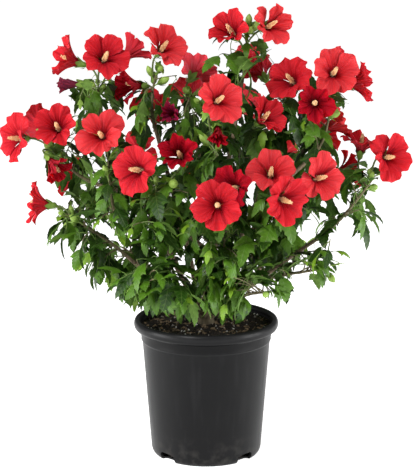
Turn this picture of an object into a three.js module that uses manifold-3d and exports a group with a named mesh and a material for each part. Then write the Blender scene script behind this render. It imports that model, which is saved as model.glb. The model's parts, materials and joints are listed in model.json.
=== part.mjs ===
// A hibiscus shrub in flower, in its black nursery pot.
// Millimetres, +Z up, -Y the front. The origin is the centre of the pot's underside.
import * as THREE from "three";
import { ConvexGeometry } from "three/addons/geometries/ConvexGeometry.js";
import { mergeVertices } from "three/addons/utils/BufferGeometryUtils.js";
import Module from "manifold-3d";

const wasm = await Module();
wasm.setup();

// ---- Driving dimensions ----

const CLEARANCE = 0.3; // between two pieces that touch
const SHORTEST_EDGE = 0.1; // joining leaves shorter ones, which are taken out

const POT_HEIGHT = 216;
const POT_RIM_RADIUS = 112.5; // outside of the rolled rim
const POT_FOOT_RADIUS = 80;
const POT_HEEL = { radius: 86.5, height: 12 }; // where the wall meets the rounded foot
const POT_COLLAR = { foot: 182, top: 200, radius: 101 }; // raised band under the rim
const POT_MOUTH = { foot: 196, top: 207, radius: 104 }; // where the inside widens to the rim
const POT_WALL = 2.2;
const POT_FLOOR = 3;
const POT_SIDES = 32;
const DRAIN = { count: 4, width: 30, height: 14, depth: 14 }; // notches in the foot

const SOIL_LEVEL = 207;
const SOIL_SLOPE = 3; // how much lower the mix lies at the wall
const SOIL_PAD_RADIUS = 24; // level ground round the trunk

const TRUNK = { height: 16, flareRadius: 15, neckRadius: 11.5, topRadius: 12.5, flareHeight: 5 };
const TRUNK_SIDES = 12;
const STEM_RING_RADIUS = 10; // where the outer stems stand on the trunk
const STEM_SINK = 3;

const BOUGH_SIDES = 5;
const STEM_ROOT_RADIUS = 4.2; // a bough that rises from the trunk
const SIDE_ROOT_RADIUS = 3.4; // a bough that rises from another bough
const BOUGH_TIP_RADIUS = 2.8;
const BOUGH_STEP = 60; // length of each straight part of a bough

const LEADER_SIDES = 4; // a mass's own stem
const LEADER_TIP_RADIUS = 2.1;
const LEADER_STEP = 45;

// Twigs, stalks and leaves are rooted inside what carries them. Shares are of a stem's length from its root.
const TWIG = { rootRadius: 0.8, tipRadius: 1.3, length: 88, out: 0.86, rise: 0.33, fall: 0.35, bend: 45 };
const TWIG_SHARES = { first: 0.12, last: 0.98 };
const TWIG_TRIES = 8;
const STALK = { rootRadius: 0.8, tipRadius: 1.6, length: 32, steps: 2 };
const STALK_SHARES = [0.3, 0.45, 0.6, 0.75, 0.9];
const THIN_SIDES = 3; // twigs and stalks
const GOLDEN_ANGLE = 2.39996;

const LEAF = { length: 61, width: 0.42, ridge: 1.6, spacing: 19, out: 1, along: 0.4, down: 0.5, roll: 0.35 };
const LEAF_SHARES = { first: 0.18, last: 0.98 };
const LEAF_GUARD = 0.5; // kept clear round each leaf
const LEAF_TRIES = 6;
const REACH = 84; // how far a mass spreads from its own stem and blooms
const OVERREACH = 10; // how far it may come past the middle between itself and the next
// The foliage hangs no lower than a bowl round the axis: its lowest height, and how wide it opens.
const SKIRT = { level: 210, opening: 410 };

const PETALS = 5;
const PETAL_LENGTH = 38;
const PETAL_CORNER = { reach: 0.76, shoulder: 0.3 }; // where petals meet, and half the width of their tips
const CALYX = { length: 11, radius: 5.2 };
const COLUMN = { radius: 3.4, length: 27 };
const BUD = { length: 17, radius: 6.5 };

// How far a bloom's petals lean out from its axis, in degrees.
const OPEN = 66;
const CUPPED = 50;
const TRUMPET = 33;
const FURLED = 13;

// ---- Colours ----

function finish(hex, roughness) {
  return new THREE.MeshStandardMaterial({ color: hex, roughness, metalness: 0 });
}

const plastic = finish(0x2b2c2e, 0.45);
const pottingMix = finish(0x221a14, 0.95);
const bark = finish(0x6f6353, 0.85);
const foliage = finish(0x3f6f2c, 0.6);

// ---- Solids from geometries ----

function solidOf(geometry) {
  const bare = new THREE.BufferGeometry();
  bare.setAttribute("position", geometry.getAttribute("position"));
  bare.setIndex(geometry.index);
  const merged = mergeVertices(bare, 1e-3);
  return new wasm.Manifold(
    new wasm.Mesh({
      numProp: 3,
      vertProperties: new Float32Array(merged.attributes.position.array),
      triVerts: new Uint32Array(merged.index.array),
    }),
  );
}

function geometryOf(solid) {
  const mesh = solid.getMesh();
  const geometry = new THREE.BufferGeometry();
  geometry.setAttribute("position", new THREE.BufferAttribute(mesh.vertProperties, 3));
  geometry.setIndex(new THREE.BufferAttribute(mesh.triVerts, 1));
  geometry.computeVertexNormals();
  return geometry;
}

function closedGeometry(points, triangles) {
  const geometry = new THREE.BufferGeometry();
  geometry.setFromPoints(points);
  geometry.setIndex(triangles.flat());
  return geometry;
}

// The largest piece of a fused solid: this drops loose scraps and fills any sealed hollow.
function wholePiece(solid) {
  return solid.decompose().reduce((best, piece) => (piece.volume() > best.volume() ? piece : best));
}

// The outline of a profile turned about Z. Points are [radius, height] from the underside up and back in.
function turned(profile) {
  const points = profile.map(([radius, height]) => new THREE.Vector2(radius, height));
  return new THREE.LatheGeometry(points, POT_SIDES).rotateX(Math.PI / 2);
}

// The straight lines that a tube of so many steps follows along a curve.
function chordsOf(curve, steps) {
  const path = new THREE.CurvePath();
  for (let step = 0; step < steps; step++) {
    path.add(new THREE.LineCurve3(curve.getPointAt(step / steps), curve.getPointAt((step + 1) / steps)));
  }
  return path;
}

// A closed tube of flat-sided rings that tapers along a curve.
function taperedTube(curve, rootRadius, tipRadius, sides, steps) {
  const frames = curve.computeFrenetFrames(steps, false);
  const points = [];
  const triangles = [];
  for (let ring = 0; ring <= steps; ring++) {
    const centre = curve.getPointAt(ring / steps);
    const radius = THREE.MathUtils.lerp(rootRadius, tipRadius, ring / steps);
    for (let side = 0; side < sides; side++) {
      const angle = (side / sides) * 2 * Math.PI;
      points.push(
        centre
          .clone()
          .addScaledVector(frames.normals[ring], Math.cos(angle) * radius)
          .addScaledVector(frames.binormals[ring], Math.sin(angle) * radius),
      );
      if (ring === steps) continue;
      const here = ring * sides + side;
      const next = ring * sides + ((side + 1) % sides);
      triangles.push([here, next, next + sides], [here, next + sides, here + sides]);
    }
  }
  const last = steps * sides;
  for (let side = 1; side < sides - 1; side++) {
    triangles.push([0, side + 1, side], [last, last + side, last + side + 1]);
  }
  return closedGeometry(points, triangles);
}

// ---- Pot: one moulded shell with a rolled rim, a raised collar and four drain notches in its foot ----

function wallRadius(height) {
  const share = (height - POT_HEEL.height) / (POT_COLLAR.foot - POT_HEEL.height);
  return THREE.MathUtils.lerp(POT_HEEL.radius, POT_COLLAR.radius - 1.5, share);
}

function insideRadius(height) {
  const straight = wallRadius(Math.min(height, POT_MOUTH.foot)) - POT_WALL;
  const widened = Math.max(0, height - POT_MOUTH.foot) / (POT_MOUTH.top - POT_MOUTH.foot);
  return THREE.MathUtils.lerp(straight, POT_MOUTH.radius, widened);
}

function potShell() {
  const collar = POT_COLLAR;
  const outline = [
    [0, 0],
    [POT_FOOT_RADIUS, 0],
    [POT_FOOT_RADIUS + 4.5, 4.5],
    [POT_HEEL.radius, POT_HEEL.height],
    [wallRadius(collar.foot - 1), collar.foot - 1],
    [collar.radius, collar.foot + 1],
    [collar.radius + 1.6, collar.top],
    [collar.radius + 2.8, collar.top + 3],
    [POT_RIM_RADIUS - 2.5, collar.top + 4],
    [POT_RIM_RADIUS, POT_HEIGHT - 8],
    [POT_RIM_RADIUS - 1, POT_HEIGHT - 2.5],
    [POT_RIM_RADIUS - 4, POT_HEIGHT],
    [POT_RIM_RADIUS - 7, POT_HEIGHT - 2],
    [POT_MOUTH.radius, POT_MOUTH.top],
    [insideRadius(POT_MOUTH.foot), POT_MOUTH.foot],
    [insideRadius(POT_HEEL.height), POT_HEEL.height],
    [POT_FOOT_RADIUS, POT_FLOOR],
    [0, POT_FLOOR],
  ];
  let shell = solidOf(turned(outline));
  for (let notch = 0; notch < DRAIN.count; notch++) {
    const angle = ((notch + 0.5) / DRAIN.count) * 2 * Math.PI;
    const cutter = new THREE.BoxGeometry(2 * DRAIN.depth, DRAIN.width, 2 * DRAIN.height);
    cutter.translate(POT_HEEL.radius, 0, 0).rotateZ(angle);
    shell = shell.subtract(solidOf(cutter));
  }
  return shell;
}

// ---- Potting mix: fills the pot, highest round the trunk ----

function pottingMixFill() {
  const reach = (height) => insideRadius(height) - CLEARANCE;
  const edgeLevel = SOIL_LEVEL - SOIL_SLOPE;
  return solidOf(
    turned([
      [0, POT_FLOOR + CLEARANCE],
      [POT_HEEL.radius - DRAIN.depth - 1, POT_FLOOR + CLEARANCE],
      [POT_HEEL.radius - DRAIN.depth - 1, DRAIN.height + 1],
      [reach(DRAIN.height + 5), DRAIN.height + 5],
      [reach(POT_MOUTH.foot), POT_MOUTH.foot],
      [reach(edgeLevel), edgeLevel],
      [SOIL_PAD_RADIUS * 2, SOIL_LEVEL - 1],
      [SOIL_PAD_RADIUS, SOIL_LEVEL],
      [0, SOIL_LEVEL],
    ]),
  );
}

// ---- Trunk: a short woody crown that flares at the ground and carries all the stems ----

const TRUNK_FOOT = SOIL_LEVEL + CLEARANCE;
const TRUNK_TOP = TRUNK_FOOT + TRUNK.height;

function trunkSolid(extra = 0) {
  const profile = [
    [0, TRUNK_FOOT - extra],
    [TRUNK.flareRadius + extra, TRUNK_FOOT - extra],
    [TRUNK.neckRadius + 1.5 + extra, TRUNK_FOOT + TRUNK.flareHeight],
    [TRUNK.neckRadius + extra, TRUNK_FOOT + TRUNK.height / 2],
    [TRUNK.topRadius + extra, TRUNK_TOP - 2],
    [TRUNK.topRadius - 3 + extra, TRUNK_TOP + extra],
    [0, TRUNK_TOP + extra],
  ];
  const points = profile.map(([radius, height]) => new THREE.Vector2(radius, height));
  return solidOf(new THREE.LatheGeometry(points, TRUNK_SIDES).rotateX(Math.PI / 2));
}

// ---- Shoots ----
// Each shoot is a bough and the mass of foliage at its end. A bough rises from the trunk, at `foot` degrees
// round it, or from the bough of the shoot named in `from`, `at` that share of its length. `end` is where it
// enters the mass and `lift` how far its middle stands above the straight line. `tip` is the end of the
// mass's own stem and `seed` picks the places of its leaves. A bloom's `at` is the middle of its cup,
// `bearing` its heading, with 0 to the front and 90 to the right, and `pitch` how far it looks up.

function bloom(at, bearing, pitch, spread) {
  return { at: new THREE.Vector3(...at), bearing, pitch, spread };
}

function bud(at, bearing, pitch) {
  return { at: new THREE.Vector3(...at), bearing, pitch, spread: 0 };
}

const SHOOTS = {
  top: {
    foot: null,
    end: [48, 10, 535],
    lift: 30,
    tip: [62, 8, 650],
    twigs: 3,
    seed: 501,
    blooms: [
      bloom([39, -14, 657], -35, 35, TRUMPET),
      bloom([94, -2, 666], 40, 20, CUPPED),
      bloom([48, 50, 612], 170, -5, CUPPED),
      bud([64, 4, 672], 20, 80),
    ],
  },
  crest: {
    from: "top",
    at: 0.55,
    end: [-22, 38, 490],
    lift: 5,
    tip: [-22, 28, 560],
    twigs: 3,
    seed: 1002,
    blooms: [
      bloom([-18, 45, 592], 165, -10, OPEN),
      bloom([-50, -36, 538], -20, 15, FURLED),
      bloom([-84, 62, 530], -170, 25, CUPPED),
    ],
  },
  middle: {
    from: "top",
    at: 0.42,
    end: [14, -34, 388],
    lift: 5,
    tip: [10, -58, 515],
    twigs: 3,
    seed: 803,
    blooms: [bloom([16, -92, 564], 25, 20, OPEN), bloom([18, -88, 516], 5, -25, FURLED)],
  },
  upper_left: {
    foot: 180,
    end: [-150, -2, 495],
    lift: 18,
    tip: [-163, 2, 570],
    twigs: 3,
    seed: 704,
    blooms: [
      bloom([-202, 16, 612], -80, 20, CUPPED),
      bloom([-152, -24, 618], 20, 28, OPEN),
      bloom([-118, 52, 620], 120, 35, TRUMPET),
      bloom([-204, -6, 580], -88, 2, FURLED),
    ],
  },
  left_front: {
    from: "upper_left",
    at: 0.55,
    end: [-118, -42, 376],
    lift: 0,
    tip: [-146, -50, 470],
    twigs: 3,
    seed: 505,
    blooms: [bloom([-153, -68, 509], -8, 22, OPEN)],
  },
  far_left: {
    from: "upper_left",
    at: 0.68,
    end: [-178, 4, 430],
    lift: -4,
    tip: [-232, 8, 478],
    twigs: 3,
    seed: 1106,
    blooms: [
      bloom([-280, -12, 498], -46, 5, OPEN),
      bloom([-256, 48, 506], -140, 25, CUPPED),
      bloom([-222, -30, 516], -5, 25, CUPPED),
      bloom([-232, -38, 462], 25, -20, FURLED),
    ],
  },
  left_low: {
    foot: 232,
    end: [-122, -26, 320],
    lift: -6,
    tip: [-214, -24, 384],
    twigs: 5,
    seed: 807,
    blooms: [bloom([-248, -20, 398], -85, 8, CUPPED)],
  },
  upper_middle: {
    foot: 129,
    end: [-78, 8, 512],
    lift: 24,
    tip: [-76, 6, 592],
    twigs: 3,
    seed: 508,
    blooms: [bloom([-66, -2, 632], 35, 35, CUPPED), bloom([-108, -4, 578], -50, 5, TRUMPET)],
  },
  centre_left: {
    from: "upper_middle",
    at: 0.4,
    end: [-58, -46, 342],
    lift: 0,
    tip: [-74, -64, 435],
    twigs: 4,
    seed: 909,
    blooms: [
      bloom([-97, -100, 464], -35, 10, OPEN),
      bloom([-38, -90, 485], -10, 25, TRUMPET),
      bud([-48, -104, 444], 10, 20),
    ],
  },
  upper_right: {
    foot: 27,
    end: [114, 2, 480],
    lift: 22,
    tip: [118, 4, 555],
    twigs: 3,
    seed: 610,
    blooms: [
      bloom([130, -14, 584], -30, 30, OPEN),
      bloom([86, 40, 590], -160, 25, TRUMPET),
      bloom([84, -62, 534], 35, 30, CUPPED),
    ],
  },
  crown_right: {
    from: "upper_right",
    at: 0.6,
    end: [160, -10, 470],
    lift: 0,
    tip: [188, 0, 555],
    twigs: 3,
    seed: 711,
    blooms: [
      bloom([190, -18, 596], 10, 22, OPEN),
      bloom([200, 44, 600], 110, 40, TRUMPET),
      bloom([226, 12, 578], 85, 12, CUPPED),
      bloom([160, -66, 558], -2, 6, CUPPED),
      bud([188, -44, 540], 40, 10),
    ],
  },
  right_front: {
    from: "upper_right",
    at: 0.36,
    end: [80, -62, 326],
    lift: 0,
    tip: [114, -88, 412],
    twigs: 4,
    seed: 812,
    blooms: [
      bloom([94, -110, 472], 4, 40, OPEN),
      bloom([172, -84, 450], 35, 12, OPEN),
      bloom([118, -158, 427], 35, -8, OPEN),
    ],
  },
  far_right: {
    foot: 335,
    end: [166, -58, 352],
    lift: 4,
    tip: [256, -12, 440],
    twigs: 4,
    seed: 713,
    blooms: [
      bloom([274, -4, 468], 24, 8, OPEN),
      bloom([234, 14, 482], 45, 60, CUPPED),
      bloom([194, 30, 512], 80, 30, TRUMPET),
    ],
  },
  right_low: {
    from: "far_right",
    at: 0.46,
    end: [112, -58, 296],
    lift: 0,
    tip: [176, -84, 312],
    twigs: 5,
    seed: 514,
    blooms: [],
  },
  centre_front: {
    foot: 283,
    end: [20, -60, 286],
    lift: 0,
    tip: [26, -100, 385],
    twigs: 5,
    seed: 715,
    blooms: [bloom([42, -114, 440], -32, 2, CUPPED), bloom([17, -165, 424], -3, 10, OPEN)],
  },
  low_left: {
    from: "centre_front",
    at: 0.4,
    end: [-38, -62, 272],
    lift: 0,
    tip: [-94, -118, 296],
    twigs: 6,
    seed: 716,
    blooms: [],
  },
  low_right: {
    from: "centre_front",
    at: 0.32,
    end: [54, -66, 266],
    lift: 0,
    tip: [94, -122, 286],
    twigs: 5,
    seed: 917,
    blooms: [],
  },
  back: {
    foot: 78,
    end: [20, 88, 430],
    lift: 14,
    tip: [16, 130, 505],
    twigs: 5,
    seed: 618,
    blooms: [bloom([-26, 150, 546], -170, 40, OPEN), bloom([60, 160, 526], 150, 25, CUPPED)],
  },
  back_left: {
    from: "back",
    at: 0.42,
    end: [-84, 96, 365],
    lift: 0,
    tip: [-142, 150, 425],
    twigs: 5,
    seed: 619,
    blooms: [
      bloom([-178, 160, 472], -130, 15, OPEN),
      bloom([-112, 214, 442], -165, 12, CUPPED),
      bloom([-206, 92, 418], -110, 10, CUPPED),
    ],
  },
  back_right: {
    from: "back",
    at: 0.46,
    end: [96, 98, 372],
    lift: 0,
    tip: [148, 150, 428],
    twigs: 5,
    seed: 720,
    blooms: [
      bloom([184, 158, 478], 130, 18, OPEN),
      bloom([122, 216, 434], 165, 5, OPEN),
      bloom([216, 84, 432], 100, 12, CUPPED),
    ],
  },
  back_low: {
    from: "back",
    at: 0.3,
    end: [8, 112, 300],
    lift: 0,
    tip: [-4, 204, 345],
    twigs: 5,
    seed: 921,
    blooms: [bloom([-4, 252, 392], 180, 12, OPEN)],
  },
  low_back_left: {
    from: "left_low",
    at: 0.5,
    end: [-86, 34, 284],
    lift: 0,
    tip: [-134, 70, 312],
    twigs: 5,
    seed: 922,
    blooms: [],
  },
  low_back_right: {
    from: "far_right",
    at: 0.4,
    end: [84, 32, 286],
    lift: 0,
    tip: [136, 78, 318],
    twigs: 5,
    seed: 1223,
    blooms: [],
  },
};

const shootNames = Object.keys(SHOOTS);

// ---- Boughs ----

const UP = new THREE.Vector3(0, 0, 1);

function bowedCurve(start, end, lift) {
  const middle = start.clone().lerp(end, 0.5).addScaledVector(UP, lift);
  return new THREE.QuadraticBezierCurve3(start, middle, end);
}

function boughStart(shoot) {
  if (shoot.from) return boughCurve(SHOOTS[shoot.from]).getPointAt(shoot.at);
  const radius = shoot.foot === null ? 0 : STEM_RING_RADIUS;
  const angle = THREE.MathUtils.degToRad(shoot.foot ?? 0);
  return new THREE.Vector3(Math.cos(angle) * radius, Math.sin(angle) * radius, TRUNK_TOP - STEM_SINK);
}

function boughCurve(shoot) {
  return bowedCurve(boughStart(shoot), new THREE.Vector3(...shoot.end), shoot.lift);
}

function boughRootRadius(shoot) {
  return shoot.from ? SIDE_ROOT_RADIUS : STEM_ROOT_RADIUS;
}

function boughSolid(shoot, extra = 0) {
  const curve = boughCurve(shoot);
  const steps = Math.max(3, Math.round(curve.getLength() / BOUGH_STEP));
  const root = boughRootRadius(shoot) + extra;
  return solidOf(taperedTube(curve, root, BOUGH_TIP_RADIUS + extra, BOUGH_SIDES, steps));
}

// A bough stops just short of what it rises from.
function trimmedBough(shoot) {
  const gap = CLEARANCE / Math.cos(Math.PI / BOUGH_SIDES);
  const carrier = shoot.from ? boughSolid(SHOOTS[shoot.from], gap) : trunkSolid(CLEARANCE);
  return wholePiece(boughSolid(shoot).subtract(carrier));
}

// ---- What is already there: nothing that grows later may touch it ----

const occupied = [];

function occupy(solid, owner) {
  occupied.push({ solid, box: solid.boundingBox(), owner });
}

function boxesMeet(a, b) {
  return [0, 1, 2].every((axis) => a.min[axis] <= b.max[axis] && b.min[axis] <= a.max[axis]);
}

// The owner of the first solid that the guard touches, apart from those that it may touch.
function whatItTouches(guard, mayTouch) {
  const box = guard.boundingBox();
  const hit = occupied.find(
    (other) =>
      !mayTouch(other.owner) && boxesMeet(box, other.box) && !guard.intersect(other.solid).isEmpty(),
  );
  return hit?.owner;
}

// ---- Leaves and blooms ----

// Repeatable numbers from 0 to 1, the same for the same seed.
function numbersFrom(seed) {
  let state = seed;
  return () => {
    state = (Math.imul(state, 1664525) + 1013904223) >>> 0;
    return state / 4294967296;
  };
}

// Axes with Y along a leaf and Z out of its upper face, rolled a little about its length.
function leafFrame(root, along, roll) {
  const across = new THREE.Vector3().crossVectors(along, UP).normalize();
  const out = new THREE.Vector3().crossVectors(across, along).normalize();
  const frame = new THREE.Matrix4().makeBasis(across, along, out);
  return frame.multiply(new THREE.Matrix4().makeRotationY(roll)).setPosition(root);
}

// The corners of a three-lobed blade: its root, the rim round by way of both lobes, then its ridge.
function leafCorners({ frame, length }) {
  const half = LEAF.width * length;
  const corners = [
    [0, 0, 0],
    [half, 0.5 * length, -3],
    [0.5 * half, 0.66 * length, -2],
    [0, length, -7],
    [-0.5 * half, 0.66 * length, -2],
    [-half, 0.5 * length, -3],
    [0, 0.24 * length, LEAF.ridge],
  ];
  return corners.map((corner) => new THREE.Vector3(...corner).applyMatrix4(frame));
}

// Ridged above and flat below. The root is a point inside the twig, so that the blade leaves it as a stalk.
function leafSolid(leaf) {
  const top = [0, 1, 2, 3, 4, 5].map((corner) => [corner, (corner + 1) % 6, 6]);
  const under = [
    [0, 5, 1],
    [5, 4, 1],
    [4, 2, 1],
    [4, 3, 2],
  ];
  return solidOf(closedGeometry(leafCorners(leaf), [...top, ...under]));
}

// The room that a leaf needs: the hull of its corners, spread to both sides of the blade.
function leafRoom(leaf) {
  const out = new THREE.Vector3().setFromMatrixColumn(leaf.frame, 2).multiplyScalar(LEAF_GUARD);
  const corners = leafCorners({ ...leaf, length: leaf.length + LEAF_GUARD });
  const spread = corners.flatMap((corner) => [corner.clone().add(out), corner.clone().sub(out)]);
  return solidOf(new ConvexGeometry(spread));
}

function headingOf({ bearing, pitch }) {
  const [turn, up] = [bearing, pitch].map(THREE.MathUtils.degToRad);
  return new THREE.Vector3(Math.sin(turn) * Math.cos(up), -Math.cos(turn) * Math.cos(up), Math.sin(up));
}

function bloomFrame(flower) {
  const heading = headingOf(flower);
  const across = new THREE.Vector3().crossVectors(UP, heading).normalize();
  const over = new THREE.Vector3().crossVectors(heading, across);
  return new THREE.Matrix4().makeBasis(across, over, heading);
}

// The bottom of a bloom's throat: half the petals' depth behind the middle of its cup.
function throatOf(flower) {
  const depth = flower.spread ? PETAL_LENGTH * Math.cos(THREE.MathUtils.degToRad(flower.spread)) : 0;
  return flower.at.clone().addScaledVector(headingOf(flower), -depth / 2);
}

// The angles of a ring's points: every ring of a bloom starts from the same side.
function ringAngles(count) {
  return Array.from({ length: count }, (_, index) => (index / count) * 2 * Math.PI + Math.PI / 2);
}

function onCircle(angle, radius, height) {
  return new THREE.Vector3(Math.cos(angle) * radius, Math.sin(angle) * radius, height);
}

function ringOf(count, radius, height) {
  return ringAngles(count).map((angle) => onCircle(angle, radius, height));
}

// The rim of the cup: each petal has a low corner where it meets its neighbour, then two shoulders.
function petalRim(spread, extra) {
  const lean = THREE.MathUtils.degToRad(spread);
  const corner = (share, angle) => {
    const reach = (PETAL_LENGTH + extra) * share;
    return onCircle(angle, reach * Math.sin(lean), reach * Math.cos(lean));
  };
  return ringAngles(PETALS).flatMap((middle) => [
    corner(PETAL_CORNER.reach, middle - Math.PI / PETALS),
    corner(1, middle - PETAL_CORNER.shoulder),
    corner(1, middle + PETAL_CORNER.shoulder),
  ]);
}

// A line on a bloom's axis, between two distances in front of its throat.
function axisLine(flower, from, to) {
  const heading = headingOf(flower);
  const throat = throatOf(flower);
  return new THREE.LineCurve3(
    throat.clone().addScaledVector(heading, from),
    throat.clone().addScaledVector(heading, to),
  );
}

// Rings of three along a stalk, all turned the way the bloom is.
function stalkRings(curve, flower, extra) {
  const across = new THREE.Vector3().setFromMatrixColumn(bloomFrame(flower), 0);
  return Array.from({ length: STALK.steps + 1 }, (_, ring) => ring / STALK.steps).map((share) => {
    const heading = curve.getTangentAt(share);
    const side = across.clone().projectOnPlane(heading).normalize();
    const over = new THREE.Vector3().crossVectors(heading, side);
    const frame = new THREE.Matrix4().makeBasis(side, over, heading).setPosition(curve.getPointAt(share));
    const radius = THREE.MathUtils.lerp(STALK.rootRadius, STALK.tipRadius, share) + extra;
    return ringOf(THIN_SIDES, radius, 0).map((point) => point.applyMatrix4(frame));
  });
}

// From the calyx out to the rim of the cup, back in to the throat and up the column of stamens.
// A bud has its calyx and a closed head.
function bloomRings(flower, extra) {
  const frame = bloomFrame(flower).setPosition(throatOf(flower));
  const calyx = ringOf(PETALS, CALYX.radius + extra, -1);
  const closed = [
    ringOf(PETALS, BUD.radius + extra, BUD.length * 0.3),
    ringOf(THIN_SIDES, 1 + extra, BUD.length * 0.75 + extra),
  ];
  const open = [
    petalRim(flower.spread, extra),
    ringOf(PETALS, COLUMN.radius, 4 + extra),
    ringOf(THIN_SIDES, COLUMN.radius * 0.6, COLUMN.length),
  ];
  const rings = [calyx, ...(flower.spread ? open : closed)];
  return rings.map((ring) => ring.map((point) => point.applyMatrix4(frame)));
}

// Joins each ring to the next, whatever their counts, and closes both ends.
function ringSolid(rings) {
  const triangles = [];
  let first = 0;
  rings.slice(1).forEach((upper, index) => {
    const lower = rings[index];
    const second = first + lower.length;
    const steps = Math.max(lower.length, upper.length);
    const low = (step) => first + (Math.round((step * lower.length) / steps) % lower.length);
    const high = (step) => second + (Math.round((step * upper.length) / steps) % upper.length);
    for (let step = 0; step < steps; step++) {
      if (low(step) !== low(step + 1)) triangles.push([low(step), low(step + 1), high(step + 1)]);
      if (high(step) !== high(step + 1)) triangles.push([low(step), high(step + 1), high(step)]);
    }
    first = second;
  });
  for (let corner = 1; corner < rings[0].length - 1; corner++) triangles.push([0, corner + 1, corner]);
  for (let corner = 1; corner < rings.at(-1).length - 1; corner++) {
    triangles.push([first, first + corner, first + corner + 1]);
  }
  return solidOf(closedGeometry(rings.flat(), triangles));
}

// One bloom or bud with its stalk, from inside the stem that carries it.
function floweringSolid(curve, flower, extra = 0) {
  return ringSolid([...stalkRings(curve, flower, extra), ...bloomRings(flower, extra)]);
}

// ---- Masses of foliage ----

const sites = []; // points that each mass grows round: its own stem and blooms

// Whether a point is nearer to this mass's sites than to any other's, give or take the overreach, and not
// too low.
function inOwnSpace(name, point) {
  const nearest = { own: Infinity, other: Infinity };
  for (const site of sites) {
    const whose = site.name === name ? "own" : "other";
    nearest[whose] = Math.min(nearest[whose], site.point.distanceTo(point));
  }
  const skirt = SKIRT.level + (point.x ** 2 + point.y ** 2) / SKIRT.opening;
  return point.z > skirt && nearest.own < REACH && nearest.own < nearest.other + OVERREACH;
}

// A mass's stem carries straight on from its bough, a hair's breadth clear of it.
function leaderCurve(shoot) {
  const bough = boughCurve(shoot);
  const heading = bough.getTangentAt(1);
  const start = bough.getPointAt(1).addScaledVector(heading, CLEARANCE);
  const tip = new THREE.Vector3(...shoot.tip);
  const turn = start.clone().addScaledVector(heading, start.distanceTo(tip) * 0.4);
  return new THREE.QuadraticBezierCurve3(start, turn, tip);
}

// A bloom's stalk leaves the stem low enough to rise to its calyx, and comes in along the bloom's axis.
function stalkCurve(leader, flower, share) {
  const start = leader.getPointAt(share);
  const end = axisLine(flower, -CALYX.length, 0).v1;
  const back = axisLine(flower, -CALYX.length - start.distanceTo(end) * 0.45, 0).v1;
  return new THREE.QuadraticBezierCurve3(start, back, end);
}

function stalkShare(leader, flower) {
  const calyx = axisLine(flower, -CALYX.length, 0).v1;
  const far = (share) => Math.abs(leader.getPointAt(share).distanceTo(calyx) - STALK.length);
  return STALK_SHARES.reduce((best, share) => (far(share) < far(best) ? share : best));
}

// Side twigs leave the stem in turn round it, rise a little and then bow down at their ends.
function twigCurve(leader, index, count, size, random) {
  const share = THREE.MathUtils.lerp(TWIG_SHARES.first, TWIG_SHARES.last, (index + 0.5) / count);
  const start = leader.getPointAt(share);
  const heading = leader.getTangentAt(share);
  const side = new THREE.Vector3().crossVectors(heading, UP).normalize();
  side.applyAxisAngle(heading, index * GOLDEN_ANGLE + random() * 2 * Math.PI);
  const length = TWIG.length * size * (0.75 + 0.4 * random());
  const middle = start
    .clone()
    .addScaledVector(side, length * 0.5)
    .addScaledVector(heading, length * TWIG.rise * 0.8);
  const end = start
    .clone()
    .addScaledVector(side, length * TWIG.out)
    .addScaledVector(heading, length * TWIG.rise)
    .addScaledVector(UP, -length * TWIG.fall * random());
  return new THREE.QuadraticBezierCurve3(start, middle, end);
}

function leaderSteps(curve) {
  return Math.max(1, Math.round(curve.getLength() / LEADER_STEP));
}

function leaderSolid(curve, extra = 0) {
  const [root, tip] = [BOUGH_TIP_RADIUS + extra, LEADER_TIP_RADIUS + extra];
  return solidOf(taperedTube(curve, root, tip, LEADER_SIDES, leaderSteps(curve)));
}

function twigSteps(curve) {
  return curve.getLength() > TWIG.bend ? 2 : 1;
}

function twigSolid(curve, extra = 0) {
  const [root, tip] = [TWIG.rootRadius + extra, TWIG.tipRadius + extra];
  return solidOf(taperedTube(curve, root, tip, THIN_SIDES, twigSteps(curve)));
}

// A leaf stands out from its twig and hangs: leaves follow each other round the twig by the golden angle.
function leafAt(line, share, turn, random) {
  const heading = line.getTangentAt(share);
  const out = new THREE.Vector3().crossVectors(heading, UP).normalize().applyAxisAngle(heading, turn);
  const direction = out
    .multiplyScalar(LEAF.out)
    .addScaledVector(heading, LEAF.along)
    .addScaledVector(UP, -LEAF.down * (0.6 + 0.8 * random()))
    .normalize();
  const length = LEAF.length * (0.75 + 0.4 * random());
  const roll = LEAF.roll * (2 * random() - 1);
  return { frame: leafFrame(line.getPointAt(share), direction, roll), length };
}

function tipOf({ frame, length }) {
  return new THREE.Vector3(0, length, 0).applyMatrix4(frame);
}

// Grows the stem and blooms of one mass. These come first, so that no leaf takes their place.
function growFlowering(name) {
  const curve = leaderCurve(SHOOTS[name]);
  const line = chordsOf(curve, leaderSteps(curve));
  const stem = { line, owner: name + " stem", solid: leaderSolid(curve) };
  const met = whatItTouches(leaderSolid(curve, CLEARANCE), (other) => other === "bough " + name);
  if (met) throw new Error(`the stem of ${name} meets ${met}`);
  occupy(stem.solid, stem.owner);
  const stalks = SHOOTS[name].blooms.map((flower, index) => {
    const owner = `${name} stalk ${index}`;
    const curve = stalkCurve(line, flower, stalkShare(line, flower));
    const guard = floweringSolid(curve, flower, CLEARANCE);
    const touched = whatItTouches(guard, (other) => other.startsWith(name + " "));
    if (touched) throw new Error(`bloom ${index} of ${name} meets ${touched}`);
    const solid = floweringSolid(curve, flower);
    occupy(solid, owner);
    occupy(ringSolid(bloomRings(flower, 0)), `${name} bloom ${index}`);
    return { line: chordsOf(curve, STALK.steps), owner, solid };
  });
  return { name, leader: line, stems: [stem, ...stalks], parts: [stem, ...stalks].map(({ solid }) => solid) };
}

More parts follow.
